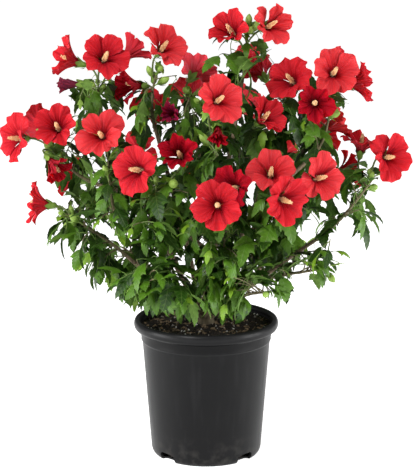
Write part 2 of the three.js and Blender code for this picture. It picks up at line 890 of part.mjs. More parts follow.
// A twig that would leave the mass's space or touch anything is tried again, a little shorter each time.
function growTwigs(mass, random) {
  const { name, leader } = mass;
  const count = SHOOTS[name].twigs;
  for (let index = 0; index < count; index++) {
    const owner = `${name} twig ${index}`;
    for (let attempt = 0; attempt < TWIG_TRIES; attempt++) {
      const curve = twigCurve(leader, index, count, 1 - attempt / (2 * TWIG_TRIES), random);
      if (!inOwnSpace(name, curve.getPointAt(1))) continue;
      if (whatItTouches(twigSolid(curve, CLEARANCE), (other) => other === name + " stem")) continue;
      const solid = twigSolid(curve);
      occupy(solid, owner);
      mass.stems.push({ line: chordsOf(curve, twigSteps(curve)), owner, solid });
      mass.parts.push(solid);
      break;
    }
  }
}

function growLeaves(mass, random) {
  for (const { line, owner } of mass.stems) {
    const count = Math.max(1, Math.floor(line.getLength() / LEAF.spacing));
    for (let index = 0; index < count; index++) {
      const share = THREE.MathUtils.lerp(LEAF_SHARES.first, LEAF_SHARES.last, (index + 0.5) / count);
      for (let attempt = 0; attempt < LEAF_TRIES; attempt++) {
        const leaf = leafAt(line, share, index * GOLDEN_ANGLE + random() * 2 * Math.PI, random);
        if (!inOwnSpace(mass.name, tipOf(leaf))) continue;
        if (whatItTouches(leafRoom(leaf), (other) => other === owner)) continue;
        const solid = leafSolid(leaf);
        occupy(solid, `${owner} leaf ${index}`);
        mass.parts.push(solid);
        break;
      }
    }
  }
}

// ---- Assembly ----

const shrub = new THREE.Group();

function addNode(name, solid, material) {
  const mesh = new THREE.Mesh(geometryOf(solid), material);
  mesh.name = name;
  shrub.add(mesh);
}

const pot = potShell();
const soil = pottingMixFill();
const trunk = trunkSolid();
addNode("pot", pot, plastic);
addNode("potting_mix", soil, pottingMix);
addNode("trunk", trunk, bark);
[pot, soil, trunk].forEach((solid) => occupy(solid, "pot and trunk"));

for (const name of shootNames) {
  const bough = trimmedBough(SHOOTS[name]);
  addNode("bough_" + name, bough, bark);
  occupy(bough, "bough " + name);
  const leader = leaderCurve(SHOOTS[name]);
  [0.1, 0.5, 0.8, 1].forEach((share) => sites.push({ name, point: leader.getPointAt(share) }));
  SHOOTS[name].blooms.forEach(({ at }) => sites.push({ name, point: at }));
}

const masses = shootNames.map(growFlowering);
masses.forEach((mass, index) => growTwigs(mass, numbersFrom(100 + index)));
masses.forEach((mass) => growLeaves(mass, numbersFrom(SHOOTS[mass.name].seed)));
for (const mass of masses) {
  addNode("foliage_" + mass.name, wholePiece(wasm.Manifold.union(mass.parts)).simplify(SHORTEST_EDGE), foliage);
}

export default shrub;
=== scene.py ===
"""A red hibiscus shrub in full flower, growing in a black nursery pot, on a pale studio floor."""

import json
import math
import random

import bpy
import numpy as np
from mathutils import Matrix, Vector, noise

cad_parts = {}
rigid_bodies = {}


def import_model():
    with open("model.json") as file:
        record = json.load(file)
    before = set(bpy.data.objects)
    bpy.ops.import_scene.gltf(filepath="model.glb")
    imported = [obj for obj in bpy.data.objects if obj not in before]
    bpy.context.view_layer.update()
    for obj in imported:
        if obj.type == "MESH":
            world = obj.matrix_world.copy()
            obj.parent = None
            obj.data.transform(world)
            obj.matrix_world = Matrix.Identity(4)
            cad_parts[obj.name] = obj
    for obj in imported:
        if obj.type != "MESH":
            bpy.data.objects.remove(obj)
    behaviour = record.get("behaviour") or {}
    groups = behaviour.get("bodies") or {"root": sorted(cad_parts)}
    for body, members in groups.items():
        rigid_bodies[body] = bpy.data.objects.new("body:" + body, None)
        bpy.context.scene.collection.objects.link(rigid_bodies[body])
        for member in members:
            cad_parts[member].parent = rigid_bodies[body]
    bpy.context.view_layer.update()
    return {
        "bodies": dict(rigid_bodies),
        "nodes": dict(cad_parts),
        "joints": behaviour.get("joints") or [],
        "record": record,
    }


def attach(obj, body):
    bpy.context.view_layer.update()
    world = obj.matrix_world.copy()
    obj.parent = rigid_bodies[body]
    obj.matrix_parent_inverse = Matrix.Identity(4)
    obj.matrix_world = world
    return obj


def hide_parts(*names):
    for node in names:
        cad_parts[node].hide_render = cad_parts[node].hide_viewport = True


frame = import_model()
MM = 0.001  # sizes are in millimetres until a mesh is made


# ---- Pot ----
# A nursery pot of thin black polypropylene, moulded in one piece: a rolled lip, a shallow band under it,
# a tapered wall and a rounded heel with four drain notches cut up into it.

POT_SIDES = 176
POT_FOOT = (80, 0)  # radius and height
POT_HEEL = (86.5, 12)
POT_BAND = (182, 198)
POT_NECK = 99.5  # radius of the wall where it meets the band
POT_WALL = 2.2
LIP = {"centre": (107.4, 207.8), "half_width": 5.0, "half_height": 8.0}
MOUTH = ((196, 98.4), (207, 103.6))  # height and radius where the inside widens to the lip
NOTCH = {"count": 4, "width": 30, "height": 14, "depth": 14}


class Wire:
    """A socket of a shader. Arithmetic on it adds Math nodes, and node() adds any other kind."""

    def __init__(self, tree, socket=None):
        self.tree = tree
        self.socket = socket

    def node(self, kind, settings=None, inputs=None, output=0):
        made = self.tree.nodes.new("ShaderNode" + kind)
        for name, value in (settings or {}).items():
            if name == "stops":
                for stop, (place, colour) in enumerate(value):
                    elements = made.color_ramp.elements
                    element = elements[stop] if stop < 2 else elements.new(place)
                    element.position = place
                    element.color = (*colour, 1)
            else:
                setattr(made, name, value)
        for name, value in (inputs or {}).items():
            if isinstance(value, Wire):
                self.tree.links.new(value.socket, made.inputs[name])
            else:
                made.inputs[name].default_value = value
        return Wire(self.tree, made.outputs[output] if made.outputs else None)

    def maths(self, operation, first, second=0.0):
        return self.node("Math", {"operation": operation}, {0: first, 1: second})

    def axes(self):
        """The three numbers of a vector."""
        split = self.node("SeparateXYZ", {}, {"Vector": self}).socket.node
        return [Wire(self.tree, socket) for socket in split.outputs]

    def __add__(self, other):
        return self.maths("ADD", self, other)

    def __sub__(self, other):
        return self.maths("SUBTRACT", self, other)

    def __rsub__(self, other):
        return self.maths("SUBTRACT", other, self)

    def __mul__(self, other):
        return self.maths("MULTIPLY", self, other)

    __radd__ = __add__
    __rmul__ = __mul__

    def between(self, low, high):
        """0 up to low, 1 from high, and an even slope between them."""
        return self.node("MapRange", {}, {"Value": self, "From Min": low, "From Max": high})

    def blend(self, first, second):
        """A colour between two, with this value as its share of the second."""
        ends = {6: (*first, 1) if isinstance(first, tuple) else first,
                7: (*second, 1) if isinstance(second, tuple) else second}
        return self.node("Mix", {"data_type": "RGBA"}, {0: self, **ends}, output=2)

    def places(self, kind="Object"):
        return self.node("TexCoord", output={"UV": 2, "Object": 3}[kind])

    def grain(self, scale, detail=3, where=None):
        inputs = {"Vector": where or self.places(), "Scale": scale, "Detail": detail}
        return self.node("TexNoise", {}, inputs)

    def bump(self, height, distance, strength=1.0):
        return self.node("Bump", {}, {"Height": height, "Distance": distance, "Strength": strength})

    def surface(self, **inputs):
        """The finished surface: each input is named as its socket is, with _ for a space."""
        named = {name.replace("_", " "): value for name, value in inputs.items()}
        shader = self.node("BsdfPrincipled", {}, named)
        self.node("OutputMaterial", {}, {"Surface": shader})


def new_finish(name):
    material = bpy.data.materials.new(name)
    material.use_nodes = True
    material.node_tree.nodes.clear()
    return material, Wire(material.node_tree)


def pot_plastic():
    """Satin black with the faint mottle of the mould, rubbed marks up the wall, dust at the foot, painted
    shadow under the lip and a painted highlight on it.
    """
    material, wire = new_finish("black_moulded_plastic")
    place = wire.places()
    height = place.axes()[2]
    stretched = wire.node("Mapping", {}, {"Vector": place, "Scale": (1, 1, 0.12)})
    rubbed = wire.grain(90, 4, stretched).between(0.52, 0.75)
    mottle = wire.grain(22, 3)
    dust = (1 - height.between(0.004, 0.05)) * wire.grain(60, 4).between(0.45, 0.7)
    colour = mottle.blend((0.0022, 0.0023, 0.0026), (0.0042, 0.0043, 0.0047))
    colour = (rubbed * 0.25).blend(colour, (0.018, 0.018, 0.019))
    colour = (dust * 0.3).blend(colour, (0.08, 0.074, 0.066))
    # the band and groove under the rolled lip are darker: a painted shadow cast by the lip
    shade = height.between(0.184, 0.188) * (1 - height.between(0.200, 0.203))
    colour = (shade * 0.8).blend(colour, (0.0012, 0.0012, 0.0014))
    # a lighter band round the top of the lip: a painted highlight
    colour = (height.between(0.2045, 0.209) * 0.8).blend(colour, (0.012, 0.012, 0.0125))
    peel = wire.grain(900, 2) + 0.6 * wire.grain(160, 2)
    wire.surface(
        Base_Color=colour,
        Roughness=0.3 + 0.12 * mottle + 0.12 * rubbed + 0.1 * dust,
        Normal=wire.bump(peel, 0.00012, 0.5),
        Specular_IOR_Level=0.13,
    )
    return material


def arc(centre, half_width, half_height, start, end, count):
    """Points of an upright oval, between two angles in degrees from the outward side."""
    angles = np.radians(np.linspace(start, end, count))
    return [(centre[0] + half_width * math.cos(a), centre[1] + half_height * math.sin(a)) for a in angles]


def wall_radius(height):
    share = (height - POT_HEEL[1]) / (POT_BAND[0] - POT_HEEL[1])
    return POT_HEEL[0] + share * (POT_NECK - POT_HEEL[0])


def ring_faces(rings, sides):
    """Quads that join each ring of points to the next."""
    side = np.arange(sides)
    after = np.roll(side, -1)
    first = np.arange(rings - 1)[:, None] * sides
    quads = np.stack([first + side, first + after, first + after + sides, first + side + sides], -1)
    return quads.reshape(-1, 4)


def turned(outline, sides):
    """A profile of radius and height points turned about the upright axis."""
    angles = np.linspace(0, 2 * math.pi, sides, endpoint=False)
    radius, height = np.array(outline).T[:, :, None]
    points = np.stack([radius * np.cos(angles), radius * np.sin(angles), height + 0 * angles], -1)
    return points.reshape(-1, 3), ring_faces(len(outline), sides)


def new_mesh(name, points, faces):
    mesh = bpy.data.meshes.new(name)
    mesh.from_pydata(np.asarray(points) * MM, [], faces)
    return mesh


def shown(name, mesh, materials, smooth_to=None):
    """An object in the scene, smooth-shaded up to an angle in degrees, or all over."""
    piece = bpy.data.objects.new(name, mesh)
    bpy.context.scene.collection.objects.link(piece)
    for material in materials:
        mesh.materials.append(material)
    mesh.shade_smooth()
    if smooth_to is not None:
        mesh.set_sharp_from_angle(angle=math.radians(smooth_to))
    return piece


def apply_modifiers(piece):
    bpy.context.view_layer.update()
    flat = bpy.data.meshes.new_from_object(piece.evaluated_get(bpy.context.evaluated_depsgraph_get()))
    piece.modifiers.clear()
    piece.data = flat


def pot_outline():
    heel = [
        (POT_FOOT[0] + (POT_HEEL[0] - POT_FOOT[0]) * math.sin(t), POT_HEEL[1] * (1 - math.cos(t)))
        for t in np.radians(np.linspace(0, 90, 8))
    ]
    wall = [(wall_radius(z), z) for z in np.linspace(20, POT_BAND[0] - 2, 12)]
    band = [(99.7, 181.6), (100.9, 182.6), (101.3, 183.8), (101.1, 185), (102.2, 196.5), (102.4, 198)]
    groove = [(101.7, 199.2), (101.6, 200.4), (102.6, 201.4)]
    lip = arc(**LIP, start=-62, end=165, count=22)
    mouth = [(radius, z) for z, radius in reversed(MOUTH)]
    inside = mouth + [(wall_radius(z) - POT_WALL, z) for z in (190, 180, 120, 60, POT_HEEL[1] + 2)]
    floor = [(POT_FOOT[0] - 1, 3), (0.5, 3)]
    underside = [(0.5, 1.4), (70, 1.4), (72.5, 0), POT_FOOT]
    return underside + heel[1:] + wall + band + groove + lip + inside + floor + underside[:1]


pot_points, pot_faces = turned(pot_outline(), POT_SIDES)
pot = shown("nursery_pot", new_mesh("nursery_pot", pot_points, pot_faces.tolist()), [pot_plastic()])
for notch in range(NOTCH["count"]):
    reach, half, top = NOTCH["depth"] + 4, NOTCH["width"] / 2, NOTCH["height"]
    corners = [(x, y, z) for x in (-reach, reach) for y in (-half, half) for z in (-top, top)]
    faces = [(0, 1, 3, 2), (4, 6, 7, 5), (0, 4, 5, 1), (2, 3, 7, 6), (0, 2, 6, 4), (1, 5, 7, 3)]
    block = new_mesh("notch", corners, faces)
    cutter = bpy.data.objects.new("notch", block)
    bpy.context.scene.collection.objects.link(cutter)
    turn = math.radians(360 * (notch + 0.5) / NOTCH["count"])
    cutter.matrix_world = Matrix.Rotation(turn, 4, "Z") @ Matrix.Translation((POT_HEEL[0] * MM + 0.004, 0, 0))
    rounding = cutter.modifiers.new("rounding", "BEVEL")
    rounding.width, rounding.segments = 5 * MM, 4
    apply_modifiers(cutter)
    cut = pot.modifiers.new("cut", "BOOLEAN")
    cut.operation, cut.object, cut.solver = "DIFFERENCE", cutter, "EXACT"
    apply_modifiers(pot)
    bpy.data.objects.remove(cutter)
pot.data.shade_smooth()
pot.data.set_sharp_from_angle(angle=math.radians(38))
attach(pot, "root")
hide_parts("pot")


# ---- Potting mix ----
# A peat and bark mix that fills the pot to a little under the lip. Crumbs, white perlite and
# chips of bark lie loose on its top, which slopes down a little from the trunk to the wall.

SOIL_LEVEL = 207
SOIL_EDGE = 204
CRUMBS = {"count": 3600, "size": (0.9, 2.6), "flat": (0.5, 0.9)}
PERLITE = {"count": 140, "size": (1.0, 2.8), "flat": (0.7, 1)}
CHIPS = {"count": 300, "size": (2.2, 6.2), "flat": (0.25, 0.5)}
STREWN_TO = 101  # radius out to which they lie
SOIL_RINGS, SOIL_SPOKES = 70, 150
TURNED_OVER = [0, 3, 2, 1]  # the corners of a quad that faces the other way
OCTAHEDRON = np.array([(1, 0, 0), (0, 1, 0), (-1, 0, 0), (0, -1, 0), (0, 0, 1), (0, 0, -1)], float)
OCTAHEDRON_FACES = np.array(
    [(0, 1, 4), (1, 2, 4), (2, 3, 4), (3, 0, 4), (1, 0, 5), (2, 1, 5), (3, 2, 5), (0, 3, 5)]
)


class Bundle:
    """Many small things of one kind, gathered as arrays and joined into one mesh."""

    def __init__(self):
        self.points, self.faces, self.finishes, self.marks = [], [], [], []
        self.count = 0

    def add(self, points, faces, finish=0, marks=None):
        """marks are two numbers a point that say where on the thing it lies."""
        self.points.append(points)
        self.faces += (faces + self.count).tolist()
        self.finishes += [finish] * len(faces)
        self.marks.append(np.zeros((len(points), 2)) if marks is None else marks)
        self.count += len(points)

    def piece(self, name, materials, smooth_to=None):
        mesh = new_mesh(name, np.concatenate(self.points), self.faces)
        mesh.polygons.foreach_set("material_index", self.finishes)
        corners = np.zeros(len(mesh.loops), int)
        mesh.loops.foreach_get("vertex_index", corners)
        places = mesh.uv_layers.new(name="places")
        places.data.foreach_set("uv", np.concatenate(self.marks)[corners].ravel())
        return shown(name, mesh, materials, smooth_to)


def soil_height(x, y):
    radius = math.hypot(x, y)
    level = SOIL_LEVEL - (SOIL_LEVEL - SOIL_EDGE) * min(1, radius / 96) ** 2
    lumps = noise.noise((x * 0.09, y * 0.09, 3)) * 1.1 + noise.noise((x * 0.3, y * 0.3, 7)) * 0.9
    return level - 0.6 + lumps


def soil_finish(name, dark, light, rough, spots):
    material, wire = new_finish(name)
    speckle = wire.grain(spots, 5)
    patches = wire.grain(45, 2)
    colour = (speckle.between(0.35, 0.7) * 0.8 + patches * 0.2).blend(dark, light)
    wire.surface(Base_Color=colour, Roughness=rough - 0.1 * patches, Normal=wire.bump(speckle, 0.0006))
    return material


def scatter(bundle, chance, count, size, flat, finish):
    """Jagged lumps strewn evenly over the top of the mix, each half sunk in it."""
    for _ in range(count):
        radius = STREWN_TO * math.sqrt(chance.random())
        angle = chance.uniform(0, 2 * math.pi)
        x, y = radius * math.cos(angle), radius * math.sin(angle)
        half = chance.uniform(*size)
        stretch = np.array([half, half * chance.uniform(0.45, 0.9), half * chance.uniform(*flat)])
        lump = OCTAHEDRON * stretch * np.array([[chance.uniform(0.7, 1.2)] for _ in range(6)])
        turn, tip = chance.uniform(0, 6.3), chance.uniform(-0.5, 0.5)
        spin = np.array(Matrix.Rotation(turn, 3, "Z") @ Matrix.Rotation(tip, 3, "X"))
        place = np.array([x, y, soil_height(x, y) + 0.25 * stretch[2]])
        bundle.add(lump @ spin.T + place, OCTAHEDRON_FACES, finish)


soil = Bundle()
soil_rim = np.interp(SOIL_EDGE, *np.transpose(MOUTH)) - 0.4
profile = [(radius, None) for radius in np.linspace(0.5, soil_rim, SOIL_RINGS)]  # no height: lumpy
profile += [(MOUTH[0][1] - 0.5, MOUTH[0][0]), (wall_radius(60) - 3.5, 60), (71.5, 15), (71.5, 3.5), (1, 3.5)]
surface_points = []
for radius, height in profile:
    for turn in np.linspace(0, 2 * math.pi, SOIL_SPOKES, endpoint=False):
        x, y = radius * math.cos(turn), radius * math.sin(turn)
        surface_points.append((x, y, soil_height(x, y) if height is None else height))
soil.add(np.array(surface_points), ring_faces(len(profile), SOIL_SPOKES)[:, TURNED_OVER])
loose = random.Random(11)
scatter(soil, loose, finish=1, **CRUMBS)
scatter(soil, loose, finish=2, **PERLITE)
scatter(soil, loose, finish=3, **CHIPS)
mix_finishes = [
    soil_finish("damp_peat", (0.004, 0.003, 0.0024), (0.020, 0.014, 0.010), 0.95, 500),
    soil_finish("peat_crumbs", (0.006, 0.0042, 0.003), (0.042, 0.03, 0.018), 0.95, 300),
    soil_finish("white_perlite", (0.36, 0.35, 0.31), (0.75, 0.73, 0.68), 0.8, 700),
    soil_finish("bark_chips", (0.05, 0.03, 0.015), (0.36, 0.26, 0.15), 0.85, 260),
]
mix = soil.piece("potting_mix_top", mix_finishes, smooth_to=30)
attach(mix, "root")
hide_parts("potting_mix")


# ---- Trunk and boughs ----
# Short woody crown that flares at the ground, and the brown-grey boughs that rise from it. The bark is
# ridged lengthwise and pricked with pale lenticels, and swells at each old leaf scar.

TRUNK = {"height": 16, "flare": 14, "neck": 11, "top": 12, "sides": 40}
TRUNK_FOOT = SOIL_LEVEL + 0.3
TRUNK_TOP = TRUNK_FOOT + TRUNK["height"]
STEM_RING = 10  # how far from the middle of the trunk the outer stems stand
STEM_SINK = 3
STEM_ROOT = 4.2
SIDE_ROOT = 3.4
BOUGH_TIP = 2.8
BOUGH_SIDES = 12
SCAR_SPACING = 24
UP = np.array([0.0, 0.0, 1.0])

# How far a bloom's petals lean out from its axis, in degrees.
OPEN, CUPPED, TRUMPET, FURLED, BUD = 66, 50, 33, 13, 0


class Shoot:
    """A bough, the leafy twigs at its end and the blooms on them.

    The bough rises from the trunk, at `foot` degrees round it, or from the bough named in `carrier`, at
    that share of its length. The twigs begin at `end`, the shoot's own stem ends at `tip`, and `lift` is
    how far the bough's middle stands above the straight line. `leafy` is the share of leaf places that
    are filled. A bloom has the middle of its cup, its bearing (0 to the front, 90 to the right), how far
    it looks up, how far it is open, its tint and its size.
    """

    def __init__(self, end, tip, blooms=(), foot=None, carrier=None, lift=0, twigs=5, leafy=0.7):
        self.end, self.tip = np.array(end, float), np.array(tip, float)
        self.blooms, self.foot, self.carrier, self.lift = blooms, foot, carrier, lift
        self.twigs, self.leafy = twigs, leafy


# Blooms tinted pale face away from the front; their lighter red is painted light shining through the petals.
SHOOTS = {
    "top": Shoot((48, 10, 535), (62, 8, 650), lift=30, twigs=3, leafy=0.6, blooms=[
        (39, -14, 657, -35, 35, CUPPED), (94, -2, 666, 40, 20, CUPPED, "bright"),
        (60, 50, 606, 160, 20, CUPPED, "pale", 0.85), (64, 4, 672, 20, 80, BUD, "green", 0.8),
    ]),
    "crest": Shoot(
        (-22, 38, 490), (-22, 28, 560), carrier=("top", 0.55), lift=5, twigs=3, leafy=0.5, blooms=[
            (-18, 45, 590, 150, 30, CUPPED, "pale", 0.95), (-50, -36, 538, -20, 15, FURLED, "wilted"),
            (-84, 62, 530, -170, 25, CUPPED),
        ]),
    "middle": Shoot((14, -34, 388), (10, -58, 515), carrier=("top", 0.42), lift=5, twigs=3, blooms=[
        (16, -92, 564, 25, 20, OPEN, "bright"), (18, -88, 516, 5, -25, FURLED, "deep"),
    ]),
    "upper_left": Shoot((-150, -2, 495), (-163, 2, 570), foot=180, lift=18, twigs=3, leafy=0.5, blooms=[
        (-202, 16, 612, -80, 20, CUPPED), (-152, -24, 618, 20, 28, OPEN),
        (-118, 52, 620, 120, 35, TRUMPET), (-204, -6, 580, -88, 2, FURLED, "purple"),
    ]),
    "left_front": Shoot((-118, -42, 376), (-146, -50, 470), carrier=("upper_left", 0.55), twigs=3, blooms=[
        (-153, -68, 509, -8, 22, OPEN, "bright"),
    ]),
    "far_left": Shoot(
        (-178, 4, 430), (-232, 8, 478), carrier=("upper_left", 0.68), lift=-4, twigs=3, leafy=0.45, blooms=[
            (-280, -12, 498, -46, 5, OPEN), (-256, 48, 506, -140, 25, CUPPED),
            (-222, -30, 516, -5, 25, CUPPED), (-229, -38, 461, 45, -38, TRUMPET, "deep", 0.9),
        ]),
    "left_low": Shoot((-122, -26, 320), (-214, -24, 384), foot=232, lift=-6, blooms=[
        (-248, -20, 398, -85, 8, CUPPED),
    ]),
    "upper_middle": Shoot((-78, 8, 512), (-76, 6, 592), foot=129, lift=24, twigs=3, leafy=0.5, blooms=[
        (-66, -2, 632, 35, 35, CUPPED, "bright"), (-108, -4, 578, -50, 5, TRUMPET, "deep"),
    ]),
    "centre_left": Shoot(
        (-58, -46, 342), (-74, -64, 435), carrier=("upper_middle", 0.4), twigs=4, leafy=0.9, blooms=[
            (-97, -100, 464, -35, 10, OPEN), (-38, -90, 485, -10, 25, TRUMPET, "deep"),
            (-48, -104, 444, 10, 20, BUD, "green"),
        ]),
    "upper_right": Shoot((114, 2, 480), (118, 4, 555), foot=27, lift=22, twigs=3, leafy=0.6, blooms=[
        (130, -14, 584, -30, 30, OPEN), (86, 40, 590, -160, 25, TRUMPET), (84, -62, 534, 35, 30, CUPPED),
    ]),
    "crown_right": Shoot((160, -10, 470), (188, 0, 555), carrier=("upper_right", 0.6), twigs=3, blooms=[
        (190, -18, 596, 10, 22, OPEN, "bright"), (200, 44, 600, 110, 40, TRUMPET),
        (226, 12, 578, 85, 12, CUPPED), (160, -66, 558, -2, 6, CUPPED, "deep", 0.87),
        (188, -44, 540, 40, 10, BUD, "green"),
    ]),
    "right_front": Shoot(
        (80, -62, 326), (114, -88, 412), carrier=("upper_right", 0.36), twigs=4, leafy=0.9, blooms=[
            (94, -110, 458, 4, 36, OPEN, "bright"), (163, -84, 449, 35, 12, OPEN, "bright"),
            (108, -158, 432, 35, -8, OPEN),
        ]),
    "far_right": Shoot((166, -58, 352), (256, -12, 440), foot=335, lift=4, twigs=4, leafy=0.45, blooms=[
        (274, -4, 468, 24, 8, OPEN), (237, 14, 478, 45, 78, OPEN),
        (194, 30, 512, 80, 30, TRUMPET, "bright"),
    ]),
    "right_low": Shoot((112, -58, 296), (176, -84, 312), carrier=("far_right", 0.46)),
    "centre_front": Shoot((20, -60, 286), (26, -100, 385), foot=283, leafy=1.0, blooms=[
        (42, -114, 440, -32, 2, CUPPED, "deep"), (17, -165, 424, -3, 10, OPEN),
    ]),
    "low_left": Shoot((-38, -62, 272), (-94, -118, 296), carrier=("centre_front", 0.4), twigs=6, leafy=0.9),
    "low_right": Shoot((54, -66, 266), (94, -122, 286), carrier=("centre_front", 0.32), leafy=0.9),
    "back": Shoot((20, 88, 430), (16, 130, 505), foot=78, lift=14, leafy=0.8, blooms=[
        (-26, 150, 546, -170, 40, OPEN), (60, 160, 526, 150, 25, CUPPED, "bright"),
    ]),
    "back_left": Shoot((-84, 96, 365), (-142, 150, 425), carrier=("back", 0.42), leafy=0.8, blooms=[
        (-178, 160, 472, -130, 15, OPEN, "bright"), (-112, 214, 442, -165, 12, CUPPED),
        (-206, 92, 418, -110, 10, CUPPED),
    ]),
    "back_right": Shoot((96, 98, 372), (148, 150, 428), carrier=("back", 0.46), leafy=0.8, blooms=[
        (184, 158, 478, 130, 18, OPEN), (122, 216, 434, 165, 5, OPEN, "bright"),
        (216, 84, 432, 100, 12, CUPPED, "deep"),
    ]),
    "back_low": Shoot((8, 112, 300), (-4, 204, 345), carrier=("back", 0.3), leafy=0.8, blooms=[
        (-4, 252, 392, 180, 12, OPEN),
    ]),
    "low_back_left": Shoot((-86, 34, 284), (-134, 70, 312), carrier=("left_low", 0.5)),
    "low_back_right": Shoot((84, 32, 286), (136, 78, 318), carrier=("far_right", 0.4)),
}


def unit(vector):
    return vector / np.linalg.norm(vector)


class Line:
    """A curve bent between two ends, with points and headings by shares of its length."""

    def __init__(self, start, middle, end):
        t = np.linspace(0, 1, 61)[:, None]
        self.points = (1 - t) ** 2 * start + 2 * t * (1 - t) * middle + t * t * end
        steps = np.linalg.norm(np.diff(self.points, axis=0), axis=1)
        self.length = steps.sum()
        self.shares = np.concatenate([[0], np.cumsum(steps)]) / self.length

    def at(self, share):
        return np.array([np.interp(share, self.shares, axis) for axis in self.points.T])

    def heading(self, share):
        return unit(self.at(min(1, share + 0.02)) - self.at(max(0, share - 0.02)))

    def evenly(self, count):
        return np.array([self.at(share) for share in np.linspace(0, 1, count)])


def bough_line(shoot):
    if shoot.carrier:
        carrier, share = shoot.carrier
        start = bough_line(SHOOTS[carrier]).at(share)
    else:
        ring = 0 if shoot.foot is None else STEM_RING
        angle = math.radians(shoot.foot or 0)
        start = np.array([ring * math.cos(angle), ring * math.sin(angle), TRUNK_TOP - STEM_SINK])
    return Line(start, (start + shoot.end) / 2 + UP * shoot.lift, shoot.end)


def tube(path, radii, sides):
    """Rings round a path, joined by quads. radii has one number a ring, or one row of them a ring."""
    path = np.asarray(path)
    headings = np.gradient(path, axis=0)
    headings /= np.linalg.norm(headings, axis=1)[:, None]
    across = np.cross(headings[0], UP if abs(headings[0][2]) < 0.9 else (1, 0, 0))
    angles = np.linspace(0, 2 * math.pi, sides, endpoint=False)[:, None]
    rings = []
    for centre, heading, radius in zip(path, headings, radii):
        across = unit(across - heading * np.dot(across, heading))
        over = np.cross(heading, across)
        ring = np.cos(angles) * across + np.sin(angles) * over
        rings.append(centre + ring * np.reshape(radius, (-1, 1)))
    return np.concatenate(rings), ring_faces(len(path), sides)


def bark_radii(path, radii, sides, seed, roughness=1.0):
    """Radii with lengthwise ridges, a fine roughness, and a swelling at each leaf scar."""
    rows = []
    length = 0.0
    for row, radius in enumerate(radii):
        if row:
            length += np.linalg.norm(path[row] - path[row - 1])
        scar = math.exp(-(((length / SCAR_SPACING) % 1 - 0.5) * 9) ** 2)
        ridges = [
            noise.noise((3 * math.cos(a), 3 * math.sin(a) + seed, length * 0.02)) * 0.1
            + noise.noise((7 * math.cos(a), 7 * math.sin(a) + seed, length * 0.12)) * 0.06
            for a in np.linspace(0, 2 * math.pi, sides, endpoint=False)
        ]
        rows.append(radius * (1 + roughness * np.array(ridges) + 0.1 * scar))
    return rows


def bark_finish(name, young, old, crack):
    """Streaked lengthwise, darker in its cracks, with pale dots where the bark breathes."""
    material, wire = new_finish(name)
    place = wire.places()
    stretched = wire.node("Mapping", {}, {"Vector": place, "Scale": (1, 1, 0.18)})
    streaks = wire.grain(420, 5, stretched)
    patches = wire.grain(38, 3)
    pores = wire.node("TexVoronoi", {}, {"Vector": place, "Scale": 260})
    dots = 1 - pores.between(0.08, 0.16)
    colour = patches.between(0.3, 0.7).blend(young, old)
    colour = (streaks.between(0.55, 0.35) * 0.7).blend(colour, crack)
    colour = (dots * 0.5).blend(colour, (0.45, 0.38, 0.28))
    damp = 1 - place.axes()[2].between(0.212, 0.245)
    colour = (damp * 0.65).blend(colour, (0.045, 0.042, 0.018))
    relief = streaks + 0.5 * patches + 0.4 * dots
    wire.surface(Base_Color=colour, Roughness=0.78 + 0.15 * patches, Normal=wire.bump(relief, 0.0008))
    return material


noise.seed_set(7)  # the wander of the boughs and twigs is then the same each time
wood = Bundle()
trunk_rows = np.linspace(0, 1, 22)
trunk_shape = (
    [0, 0.26, 0.5, 0.9, 1],
    [TRUNK["flare"], TRUNK["neck"] + 1.5, TRUNK["neck"], TRUNK["top"], TRUNK["top"] - 3],
)
trunk_path = np.array([(0, 0, TRUNK_FOOT - 1.5 + share * (TRUNK["height"] + 1)) for share in trunk_rows])
trunk_path[:, :2] += 0.01 * trunk_rows[:, None]
trunk_radii = bark_radii(trunk_path, np.interp(trunk_rows, *trunk_shape), TRUNK["sides"], 1.7, roughness=1.3)
for rise, radius in ((1, 9), (0.8, 5), (0.2, 0.2)):  # its domed top, between the feet of the boughs
    trunk_path = np.append(trunk_path, [trunk_path[-1] + (0, 0, rise)], axis=0)
    trunk_radii.append(np.full(TRUNK["sides"], float(radius)))
wood.add(*tube(trunk_path, trunk_radii, TRUNK["sides"]))
bough_lines = {}
for number, (name, shoot) in enumerate(SHOOTS.items()):
    line = bough_lines[name] = bough_line(shoot)
    rows = int(line.length / 3)
    path = line.evenly(rows)
    wander = np.array([noise.noise_vector((row * 0.09, number * 5.3, 2)) for row in range(rows)])
    path += wander * 2.2 * np.sin(np.linspace(0, math.pi, rows))[:, None]
    root = SIDE_ROOT if shoot.carrier else STEM_ROOT
    radii = np.linspace(root, BOUGH_TIP, rows)
    radii += root * 0.35 * np.exp(-np.arange(rows) / 2.5)  # the collar where it leaves its carrier
    wood.add(*tube(path, bark_radii(path, radii, BOUGH_SIDES, number), BOUGH_SIDES))
bark = bark_finish("grey_brown_bark", (0.20, 0.145, 0.085), (0.31, 0.235, 0.15), (0.07, 0.045, 0.028))
boughs = wood.piece("trunk_and_boughs", [bark])
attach(boughs, "root")
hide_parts("trunk", *("bough_" + name for name in SHOOTS))


# ---- Twigs ----
# Thin green-brown wood. Each shoot's own stem runs on from its bough, with side twigs set round it by the
# golden angle, finer twigs on those and a stalk for each bloom. The leaves take their places here too,
# because a twig ends at its last leaf.

